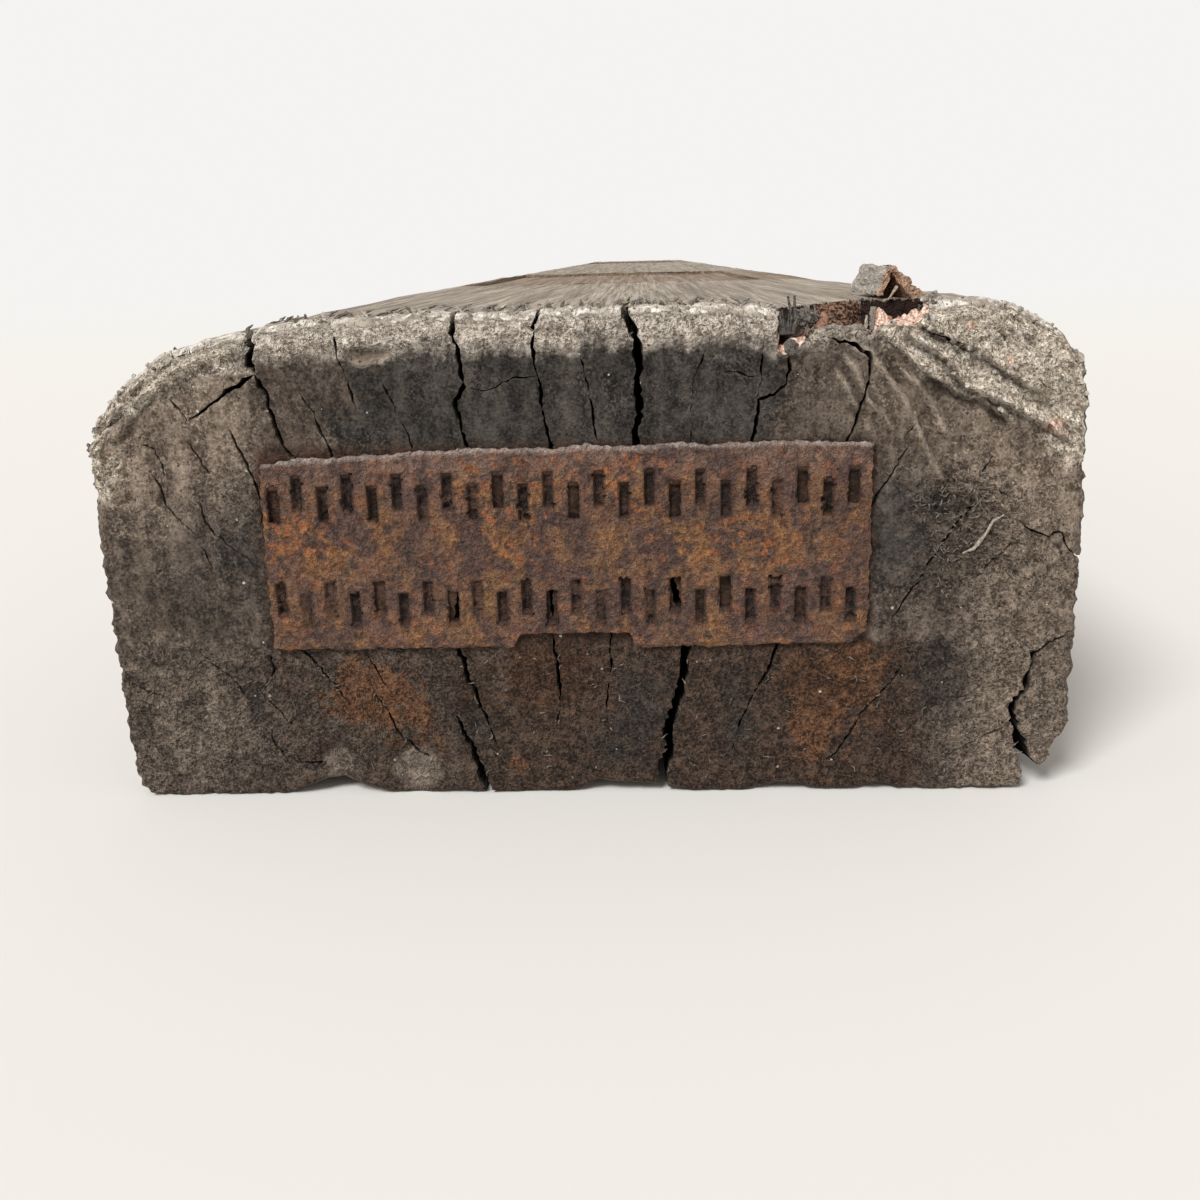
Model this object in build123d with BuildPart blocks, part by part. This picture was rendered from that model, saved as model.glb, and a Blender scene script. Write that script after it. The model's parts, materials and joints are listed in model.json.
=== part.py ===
"""A reclaimed railway sleeper with a nail plate on one end.

The timber is one sawn baulk. Its section has a waney top edge on one side and a
worn shoulder on the other, both dying away along the length. The top carries two
rail seats, each with a shallow imprint of the baseplate and four screw holes bored
right through. The plated end is the weathered one: its top edge is rounded over, a
piece is torn out of it with a sliver left standing, shrinkage splits run in from it,
the bottom corner has broken away beside one of them, and the bottom edge is gouged.

The nail plate is one pressing, corroded round its edges. Two staggered rows of
tongues are punched along each long edge and bent square into the timber.

Frame: millimetres, X across the sleeper, Y along it, Z up. The origin is the middle
of the underside, and the plated end faces -Y.
"""

import os
from build123d import *

# Timber
LENGTH = 2590.0  # 8 ft 6 in
WIDTH = 254.0  # 10 in
HEIGHT = 127.0  # 5 in
ARRIS = 3.0  # rounding of the long sawn edges
FOOT_CORNER = 6.0  # rounding where the waney side meets the underside
PROUD = 6.0  # how far a cutter stands out of the timber

# Worn top edges, each as the reach across the top, the inset and drop of its curve's
# lower end, the drop at which the side is full width again, and the fullness: the place
# of the curve's middle between its chord and the square corner
WANE = (45.0, 2.5, 22.0, 31.0, 0.3)
SHOULDER = (22.0, 3.5, 10.0, 66.0, 0.45)

NEAR_TOP_ROUND = 7.0  # weathered top edge of the plated end

# Rail seats
RAIL_CENTRES = 1505.0  # standard gauge plus one rail head
SEAT_LENGTH = 350.0  # along the sleeper
SEAT_WIDTH = 160.0
SEAT_DEPTH = 2.0
SCREW_HOLE_RADIUS = 11.0
SCREW_SPACING_ALONG = 286.0
SCREW_SPACING_ACROSS = 102.0

# Nail plate
PLATE_WIDTH = 157.0
PLATE_HEIGHT = 53.5
PLATE_THICKNESS = 2.0
PLATE_X = -5.5  # centre of the plate across the sleeper
PLATE_Z = 69.0  # and above its underside
BITE_WIDTH = 29.0  # corroded away along the bottom edge
BITE_DEPTH = 4.0
BITE_X = -3.5

# Punched teeth
TEETH_PER_BAND = 24
TOOTH_PITCH = 6.43
TOOTH_WIDTH = 2.8
SLOT_LENGTH = 9.4
STAGGER = 3.0  # height of one row above the other
BAND_INSET = 12.6  # plate edge to the middle of its two rows
BAND_SHIFT = 0.5  # the rows sit this far left of the plate's middle
TOOTH_CLEARANCE = 0.1
TOOTH_REACH = 8.0  # how far a tooth goes into the timber
TOOTH_POINT = 3.0

# Torn piece of the top edge, and the sliver left standing at its back
TEAR_LEFT = 48.5
TEAR_RIGHT = 85.0
TEAR_DROP = 9.0  # below the top at the end face
TEAR_BACK = 26.0  # how far it runs in along the top
SLIVER_THICKNESS = 1.5  # of its free leaf; the rooted one is thicker
SLIVER_LENGTH = 45.0
SLIVER_SETBACK = 15.0  # end face to the front of the sliver
SLIVER_RIDGE = 78.3
SLIVER_RISE = 10.4  # ridge above the top
SLIVER_LIFT = 2.6  # free edge above the top
SLIVER_SPREAD = 13.0  # free edge to the root

# Gouges in the bottom edge of the plated end: middle, half width, height
GOUGES = ((-69.0, 12.0, 4.2), (7.5, 14.0, 3.0), (53.0, 7.0, 1.6), (78.0, 9.0, 1.8))
GOUGE_RUN = 16.0  # how far each runs in under the timber

# Broken bottom corner, measured in from the side and up from the underside
BREAK_WIDTH = 13.0
BREAK_HEIGHT = 8.0
BREAK_RUN = 110.0

# Shrinkage splits
SPLIT_TIP = 0.12  # width where a split closes
DEPTH_PER_WIDTH = 60.0  # run into the timber for each millimetre of mouth

half_width = WIDTH / 2
half_length = LENGTH / 2
near_end = Plane.XZ.offset(half_length)  # its X is across the sleeper, its Y is up
far_end = Plane.XZ.offset(-half_length)
top = HEIGHT
above = HEIGHT + PROUD
below = -PROUD


def worn_edge(side, across, inset, drop, reach, fullness):
    """Points of a worn top edge: its end on the top, its middle, its low end and where the side is full width."""
    on_top = (side * (half_width - across), top)
    low = (side * (half_width - inset), top - drop)
    square = (low[0], top)
    middle = tuple((a + b) / 2 * (1 - fullness) + c * fullness for a, b, c in zip(on_top, low, square))
    return on_top, middle, low, (side * half_width, top - reach)


def split(path):
    """The air inside a shrinkage split. path holds (x, z, width) along its mouth."""
    points = [Vector(x, z) for x, z, _ in path]
    run = DEPTH_PER_WIDTH * max(width for _, _, width in path)
    with BuildPart() as wedge:
        for plane, share in ((near_end.offset(PROUD), 1 + PROUD / run), (near_end.offset(-run), 0)):
            one_lip, other_lip = [], []
            for i, (point, (_, _, width)) in enumerate(zip(points, path)):
                along = (points[min(i + 1, len(points) - 1)] - points[max(i - 1, 0)]).normalized()
                half = Vector(-along.Y, along.X) * max(SPLIT_TIP, width * share) / 2
                one_lip.append((point.X + half.X, point.Y + half.Y))
                other_lip.append((point.X - half.X, point.Y - half.Y))
            with BuildSketch(plane):
                with BuildLine():
                    Polyline(*one_lip, *reversed(other_lip), close=True)
                make_face()
        loft(ruled=True)
    return wedge.part


def rounded_arris():
    """What weather has taken from the top edge of the plated end, down to a rounded arris."""
    front, back = -half_length, -half_length + NEAR_TOP_ROUND
    low = top - NEAR_TOP_ROUND
    with BuildPart() as strip:
        with BuildSketch(Plane.YZ.offset(-half_width - PROUD)):
            with BuildLine():
                CenterArc((back, low), NEAR_TOP_ROUND, 90, 90)
                Polyline((front, low), (front - PROUD, low), (front - PROUD, above), (back, above), (back, top))
            make_face()
        extrude(amount=WIDTH + 2 * PROUD)
    return strip.part


def gouge(x, half_run, height):
    """A scoop out of the bottom edge that dies away under the timber."""
    with BuildPart() as scoop:
        for plane, share in ((near_end.offset(PROUD), 1 + PROUD / GOUGE_RUN), (near_end.offset(-GOUGE_RUN), 0.2)):
            with BuildSketch(plane):
                with Locations((x, 0)):
                    Ellipse(half_run * share, height * share)
        loft()
    return scoop.part


def tooth_places():
    """(x, z, sense) of each slot's outer end. sense is 1 in the top band and -1 in the bottom one."""
    first = PLATE_X - (TEETH_PER_BAND - 1) * TOOTH_PITCH / 2 - BAND_SHIFT
    band_z = PLATE_HEIGHT / 2 - BAND_INSET
    places = []
    for sense in (1, -1):
        for i in range(TEETH_PER_BAND):
            row = STAGGER / 2 if i % 2 else -STAGGER / 2
            places.append((first + i * TOOTH_PITCH, PLATE_Z + sense * (band_z + row + SLOT_LENGTH / 2), sense))
    return places


def splits():
    """The wide splits of the plated end, as the paths of their mouths."""
    corner = half_width
    return (
        # right through, passing behind the plate
        split(((10, above, 2.2), (14, top - 8, 1.8), (13.5, 98, 1.4), (18, 70, 1.4), (26, 42, 1.8),
               (24.5, 28, 2.6), (21.5, 14, 3.0), (18.5, below, 3.4))),
        split(((-32, above, 1.2), (-29.5, 112, 1.4), (-31.5, 105, 1.2), (-30, 96, 1.0), (-33, 70, 0.9),
               (-34.5, 42, 1.5), (-31, 30, 1.7), (-26, 15, 0.3))),
        split(((-36, 22, 0.5), (-31.5, 11, 1.5), (-26, below, 2.2))),
        # the top left lobe and its fork
        split(((-84, above, 2.4), (-82.5, 115, 1.9), (-88, 112, 1.3), (-102, 103.5, 0.2))),
        split(((-82, 115, 1.2), (-78.5, 103, 1.0), (-73.5, 92, 0.8), (-66, 76, 0.2))),
        # fine ones
        split(((-12, above, 0.9), (-10.5, 112, 0.8), (-8.5, 95, 0.8), (-9, 44, 1.0), (-8, 23, 0.2))),
        split(((51, 121, 0.9), (49, 111, 1.1), (44, 103, 1.0), (46, 70, 0.7), (49, 41, 1.0), (38, 13, 0.2))),
        split(((71.5, 118, 0.4), (70.5, 109, 0.9), (66, 95, 0.7), (63, 84, 0.2))),
        split(((94, 56, 0.3), (83, 40, 0.9), (74, 26, 1.2), (64, 12, 0.2))),
        # beside the broken corner
        split(((corner, 47, 0.3), (corner - 5, 42.7, 0.9), (corner - 10.5, 38, 1.1), (corner - 12.2, 28.6, 1.0),
               (corner - 15, 21, 2.0), (corner - 11, 10, 2.6), (corner - 8, below, 3.0))),
    )


def broken_corner():
    """The corner that fell away below the sliver of wood beside its split."""
    inner = half_width - BREAK_WIDTH
    with BuildPart() as wedge:
        for plane, share in ((near_end.offset(PROUD), 1.0), (near_end.offset(-BREAK_RUN), 0.1)):
            with BuildSketch(plane):
                with BuildLine():
                    Polyline(
                        (inner, below),
                        (inner + 2, BREAK_HEIGHT * share * 0.5),
                        (half_width - 6.5, BREAK_HEIGHT * share * 0.85),
                        (half_width - 4, BREAK_HEIGHT * share * 1.5),
                        (half_width - 3, BREAK_HEIGHT * share * 2.1),
                        (half_width + PROUD, BREAK_HEIGHT * share * 3.6),
                        (half_width + PROUD, below),
                        close=True,
                    )
                make_face()
        loft(ruled=True)
    return wedge.part


def torn_edge():
    """The piece torn out of the top edge: a ragged mouth, shallower towards its back."""
    with BuildPart() as wedge:
        for plane, share in ((near_end.offset(PROUD), 1.0), (near_end.offset(-TEAR_BACK), 0.35)):
            with BuildSketch(plane):
                with BuildLine():
                    Polyline(
                        (TEAR_LEFT, above),
                        (TEAR_LEFT + 1, top - TEAR_DROP * share),
                        (TEAR_LEFT + 5, top - TEAR_DROP * share * 0.9),
                        (TEAR_LEFT + 13, top - TEAR_DROP * share * 0.45),
                        (TEAR_LEFT + 23, top - TEAR_DROP * share * 0.9),
                        (TEAR_RIGHT - 6, top - TEAR_DROP * share * 0.55),
                        (TEAR_RIGHT, above),
                        close=True,
                    )
                make_face()
        loft(ruled=True)
    return wedge.part


def standing_sliver():
    """A strip of wood folded up along the grain like a roof. One leaf is rooted and the other hangs free."""
    ridge_z = top + SLIVER_RISE
    free_edge = SLIVER_RIDGE - SLIVER_SPREAD * 0.27
    root = free_edge + SLIVER_SPREAD
    with BuildPart() as strip:
        with BuildSketch(near_end.offset(-SLIVER_SETBACK)):
            with BuildLine():
                Polyline(
                    (SLIVER_RIDGE, ridge_z),
                    (root, top + SLIVER_LIFT),
                    (root + SLIVER_THICKNESS, top - TEAR_DROP),
                    (root - 3 * SLIVER_THICKNESS, top - TEAR_DROP),
                    (root - 2 * SLIVER_THICKNESS, top),
                    (SLIVER_RIDGE, ridge_z - 2 * SLIVER_THICKNESS),
                    (free_edge + 0.8 * SLIVER_THICKNESS, top + SLIVER_LIFT + 0.4),
                    (free_edge, top + SLIVER_LIFT),
                    close=True,
                )
            make_face()
        extrude(amount=-SLIVER_LENGTH)
    return strip.part


def tooth(sense):
    """A punched tongue, bent round the end of its slot and pointed. Its slot's end is at the origin."""
    bend = PLATE_THICKNESS
    with BuildPart() as tongue:
        with BuildSketch(Plane.YZ.offset(-TOOTH_WIDTH / 2)):
            with BuildLine():
                CenterArc((0, 0), bend, 180, 90 * sense)
                Polyline(
                    (0, -bend * sense),
                    (TOOTH_REACH - TOOTH_POINT, -bend * sense),
                    (TOOTH_REACH, -bend * sense / 2),
                    (TOOTH_REACH - TOOTH_POINT, 0),
                    (0, 0),
                    (-bend, 0),
                )
            make_face()
        extrude(amount=TOOTH_WIDTH)
    return tongue.part


# Cutters and added pieces are made first, each in its own place
wane = worn_edge(-1, *WANE)
shoulder = worn_edge(1, *SHOULDER)
round_cutter = rounded_arris()
split_cutters = splits()
gouge_cutters = [gouge(*values) for values in GOUGES]
corner_cutter = broken_corner()
tear_cutter = torn_edge()
sliver = standing_sliver()

with BuildPart() as sleeper_timber:
    # The baulk
    with BuildSketch(near_end) as section:
        with BuildLine():
            ThreePointArc(*wane[:3])
            Polyline(wane[2], wane[3], (-half_width, 0), (half_width, 0), shoulder[3], shoulder[2])
            ThreePointArc(*shoulder[:3])
            Line(shoulder[0], wane[0])
        make_face()
        fillet(section.vertices().group_by(Axis.Y)[0].sort_by(Axis.X)[0], FOOT_CORNER)
        fillet(section.vertices().group_by(Axis.Y)[0].sort_by(Axis.X)[-1], ARRIS)
    extrude(amount=-LENGTH)

    # Rail seats with their screw holes
    with BuildSketch(Plane.XY.offset(top)):
        with GridLocations(0, RAIL_CENTRES, 1, 2):
            Rectangle(SEAT_WIDTH, SEAT_LENGTH)
    extrude(amount=-SEAT_DEPTH, mode=Mode.SUBTRACT)
    for seat_y in (-RAIL_CENTRES / 2, RAIL_CENTRES / 2):
        with Locations((0, seat_y, top)):
            with GridLocations(SCREW_SPACING_ACROSS, SCREW_SPACING_ALONG, 2, 2):
                Hole(SCREW_HOLE_RADIUS)

    # Wear and damage of the plated end
    add([round_cutter, tear_cutter, corner_cutter], mode=Mode.SUBTRACT)
    add(gouge_cutters, mode=Mode.SUBTRACT)
    add(sliver)
    for cutter in split_cutters:
        add(cutter, mode=Mode.SUBTRACT)

    # Pockets that the teeth have pressed into the end grain
    with BuildSketch(near_end):
        for x, z, sense in tooth_places():
            with Locations((x, z - sense * PLATE_THICKNESS / 2)):
                Rectangle(TOOTH_WIDTH + 2 * TOOTH_CLEARANCE, PLATE_THICKNESS + 2 * TOOTH_CLEARANCE)
    extrude(amount=-(TOOTH_REACH + TOOTH_CLEARANCE), mode=Mode.SUBTRACT)

sleeper_timber.part.label = "sleeper_timber"

teeth = {sense: tooth(sense) for sense in (1, -1)}
left, right = PLATE_X - PLATE_WIDTH / 2, PLATE_X + PLATE_WIDTH / 2
bottom_edge, top_edge = PLATE_Z - PLATE_HEIGHT / 2, PLATE_Z + PLATE_HEIGHT / 2

with BuildPart() as nail_plate:
    # The sheet, with its corroded outline and the slots that the tongues left
    with BuildSketch(near_end):
        with BuildLine():
            Polyline(
                (left + 0.8, bottom_edge + 0.6),
                (BITE_X - BITE_WIDTH / 2 - 1, bottom_edge + 0.2),
                (BITE_X - BITE_WIDTH / 2, bottom_edge + BITE_DEPTH),
                (BITE_X + BITE_WIDTH / 2, bottom_edge + BITE_DEPTH),
                (BITE_X + BITE_WIDTH / 2 + 1, bottom_edge),
                (right - 3, bottom_edge + 0.7),
                (right, bottom_edge + 6),
                (right - 1, top_edge - 0.4),
                (PLATE_X + 50, top_edge),
                (PLATE_X, top_edge - 0.5),
                (PLATE_X - 37, top_edge - 0.7),
                (PLATE_X - 43, top_edge - 2),
                (left + 14, top_edge - 2.3),
                (left + 1.2, top_edge - 4),
                (left + 1, PLATE_Z + 6),
                close=True,
            )
        make_face()
        for x, z, sense in tooth_places():
            with Locations((x, z - sense * SLOT_LENGTH / 2)):
                Rectangle(TOOTH_WIDTH, SLOT_LENGTH, mode=Mode.SUBTRACT)
    extrude(amount=PLATE_THICKNESS)

    # The teeth
    for x, z, sense in tooth_places():
        with Locations((x, -half_length, z)):
            add(teeth[sense])

nail_plate.part.label = "nail_plate"

os.makedirs("parts", exist_ok=True)
for piece in (sleeper_timber, nail_plate):
    export_step(piece.part, f"parts/{piece.part.label}.step")
    print(piece.part.label, len(piece.part.solids()), round(piece.part.volume), piece.part.bounding_box())
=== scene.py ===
"""A reclaimed railway sleeper, seen on the end that carries its nail plate."""
import json
import math
import random

import bmesh
import bpy
import numpy as np
from mathutils import Matrix, Vector, noise

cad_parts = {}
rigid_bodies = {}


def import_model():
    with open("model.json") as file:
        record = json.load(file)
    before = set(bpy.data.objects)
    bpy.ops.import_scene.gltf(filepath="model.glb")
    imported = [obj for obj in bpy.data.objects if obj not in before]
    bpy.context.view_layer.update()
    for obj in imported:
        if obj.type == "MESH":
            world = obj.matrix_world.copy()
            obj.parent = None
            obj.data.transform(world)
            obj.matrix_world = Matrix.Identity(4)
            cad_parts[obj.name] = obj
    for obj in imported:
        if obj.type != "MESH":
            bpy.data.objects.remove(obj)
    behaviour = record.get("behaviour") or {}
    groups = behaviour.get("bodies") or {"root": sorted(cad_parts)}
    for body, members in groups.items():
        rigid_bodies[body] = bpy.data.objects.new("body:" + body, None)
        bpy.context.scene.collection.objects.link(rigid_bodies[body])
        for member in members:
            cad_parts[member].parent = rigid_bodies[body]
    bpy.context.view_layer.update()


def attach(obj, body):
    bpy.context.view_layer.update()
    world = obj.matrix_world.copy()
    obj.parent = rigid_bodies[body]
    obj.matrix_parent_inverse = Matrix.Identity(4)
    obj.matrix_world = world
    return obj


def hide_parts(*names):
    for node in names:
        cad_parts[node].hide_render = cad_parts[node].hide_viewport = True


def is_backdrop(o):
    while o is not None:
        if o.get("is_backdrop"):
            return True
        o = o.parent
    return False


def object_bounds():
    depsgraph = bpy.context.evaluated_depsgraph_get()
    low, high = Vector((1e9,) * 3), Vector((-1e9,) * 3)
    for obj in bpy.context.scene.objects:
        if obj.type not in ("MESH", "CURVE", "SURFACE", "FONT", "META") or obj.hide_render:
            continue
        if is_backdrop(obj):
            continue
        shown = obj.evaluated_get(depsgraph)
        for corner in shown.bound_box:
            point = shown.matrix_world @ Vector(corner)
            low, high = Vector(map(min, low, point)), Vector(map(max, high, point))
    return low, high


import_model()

# --- The baulk ---------------------------------------------------------------------
# One length of hardwood sawn to 8 ft 6 in by 10 in by 5 in and left in track and weather
# for decades. The block is drawn square here, finely at the plated end, and its splits,
# holes and torn places are cut before age bends and wears it.
LENGTH, WIDTH, HEIGHT = 2590.0, 254.0, 127.0
HALF = WIDTH / 2
NEAR_Y = -LENGTH / 2
MM = 0.001  # in metres


def verts_of(geometry):
    return [g for g in geometry if isinstance(g, bmesh.types.BMVert)]


def sawn_end(bm, across, up, y, steps):
    """The grid of one sawn end with the rings of wall behind it. Returns the last ring."""
    face = bmesh.ops.create_grid(bm, x_segments=across, y_segments=up, size=0.5)["verts"]
    bmesh.ops.scale(bm, vec=(WIDTH, HEIGHT, 1), verts=face)
    bmesh.ops.rotate(bm, matrix=Matrix.Rotation(math.pi / 2, 3, "X"), verts=face)
    bmesh.ops.translate(bm, vec=(0, y, HEIGHT / 2), verts=face)
    rim = list({e for v in face for e in v.link_edges if e.is_boundary})
    for step in steps:
        grown = bmesh.ops.extrude_edge_only(bm, edges=rim)["geom"]
        ring = set(verts_of(grown))
        bmesh.ops.translate(bm, vec=(0, step, 0), verts=list(ring))
        rim = [e for e in grown if isinstance(e, bmesh.types.BMEdge) and set(e.verts) <= ring]
    return rim

def solid(name, bm, into=None, scale=1.0):
    """Ends a bmesh as an object of a collection, with its faces outward."""
    bmesh.ops.scale(bm, vec=(scale, scale, scale), verts=bm.verts[:])
    bmesh.ops.recalc_face_normals(bm, faces=bm.faces[:])
    mesh = bpy.data.meshes.new(name)
    bm.to_mesh(mesh)
    bm.free()
    made = bpy.data.objects.new(name, mesh)
    (into or bpy.context.scene.collection).objects.link(made)
    return made


def skin(bm, outlines):
    """A closed solid through a row of outlines that have the same number of corners."""
    part = bmesh.new()
    face = part.faces.new([part.verts.new(p) for p in outlines[0]])
    for outline in outlines[1:]:
        face = bmesh.ops.extrude_discrete_faces(part, faces=[face])["faces"][0]
        for v, p in zip(face.verts, outline):
            v.co = p
    bmesh.ops.holes_fill(part, edges=[e for e in part.edges if e.is_boundary], sides=0)
    copies = {v: bm.verts.new(v.co) for v in part.verts}
    for f in part.faces:
        bm.faces.new([copies[v] for v in f.verts])
    part.free()


# the rings of wall stand closest at the plated end
near_steps = (0.9, 0.9, 1.0, 1.2, 1.4, 1.6, 2.0, 2.5, 3.0, 3.5, 4.5, 5.5, 6.0, 7.0)
far_steps = [2, 3, 5, 8, 12, 18]
closing_steps, last_gap, middle_rings = [25, 20, 15, 11], 8, 86
middle = LENGTH - sum(near_steps) - sum(far_steps) - last_gap - sum(closing_steps)
far_steps += [middle / middle_rings] * middle_rings + closing_steps
baulk = bmesh.new()
near_rim = sawn_end(baulk, across=230, up=115, y=NEAR_Y, steps=near_steps)
far_rim = sawn_end(baulk, across=84, up=42, y=-NEAR_Y, steps=[-step for step in far_steps])
bmesh.ops.bridge_loops(baulk, edges=near_rim + far_rim)
timber_block = solid("timber_block", baulk)
cutters = bpy.data.collections.new("cutters")
bpy.context.scene.collection.children.link(cutters)

# The worn outline of the section, as height of the top over each place across it: the
# constant one of the whole length, and the crowned one that weather left at the plated end
section_x = (-127, -124.5, -117, -109.6, -96, -82, 105, 112, 118.4, 122, 127)
section_top = (104, 105, 113, 119.3, 124.6, 127, 127, 126.2, 124.2, 121.5, 117)
end_x = (-127, -124.5, -121.5, -118, -113.5, -109, -103.5, -98.5, -92, -85.5, -82, -80.5, -69, -44.5,
         -19.5, 10, 29.5, 48.5, 84.7, 99, 108.7, 116, 121, 123.4, 127)
end_top = (103.5, 106.5, 110.5, 113.5, 116, 119, 121, 122.5, 124, 124.6, 125, 126.3, 127, 128,
           128.4, 129.2, 129, 127.6, 129.4, 129.2, 127.5, 124, 121, 117.5, 115)


def unworn(x, z):
    """The place in the square block that age moves to x, z on the plated end."""
    return x, z * HEIGHT / float(np.interp(x, end_x, end_top))


def jitter(x, y, z, size, amount):
    return amount * noise.fractal((x / size, y / size, z / size), 1.0, 2.0, 3)


# Rail seats and screw holes
# At each rail seat the baseplate has pressed its shape 2 mm into the top, and four screw
# holes were bored right through, 286 mm by 102 mm apart. Their mouths have crushed in.
SEAT_Y, SEAT_WIDTH, SEAT_RUN, IMPRINT = 752.5, 160, 350, 2
HOLE_X, HOLE_Y, HOLE_R, MOUTH = 51, 143, 11, 6.5
for seat_y in (-SEAT_Y, SEAT_Y):
    bm = bmesh.new()
    imprint = bmesh.ops.create_cube(bm, size=1)["verts"]
    bmesh.ops.scale(bm, vec=(SEAT_WIDTH, SEAT_RUN, 10), verts=imprint)
    bmesh.ops.translate(bm, vec=(0, seat_y, HEIGHT - IMPRINT + 5), verts=imprint)
    solid("imprint", bm, cutters)
    for hole_x in (-HOLE_X, HOLE_X):
        for hole_y in (seat_y - HOLE_Y, seat_y + HOLE_Y):
            bm = bmesh.new()
            bore = bmesh.ops.create_cone(bm, cap_ends=True, segments=28, radius1=HOLE_R, radius2=HOLE_R,
                                         depth=140)["verts"]
            bmesh.ops.translate(bm, vec=(hole_x, hole_y, 60), verts=bore)
            rim = [f for f in bm.faces if f.normal.z > 0.9]
            bmesh.ops.translate(bm, vec=(0, 0, HEIGHT - MOUTH - 130), verts=rim[0].verts)
            flare = bmesh.ops.extrude_face_region(bm, geom=rim)["geom"]
            bmesh.ops.delete(bm, geom=rim, context="FACES_ONLY")
            for v in verts_of(flare):
                away = Vector((v.co.x - hole_x, v.co.y - hole_y, 0)).normalized()
                v.co += away * (2.2 + jitter(away.x, away.y, hole_x, 0.6, 1.4)) + Vector((0, 0, 12))
            solid("bore", bm, cutters)

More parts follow.
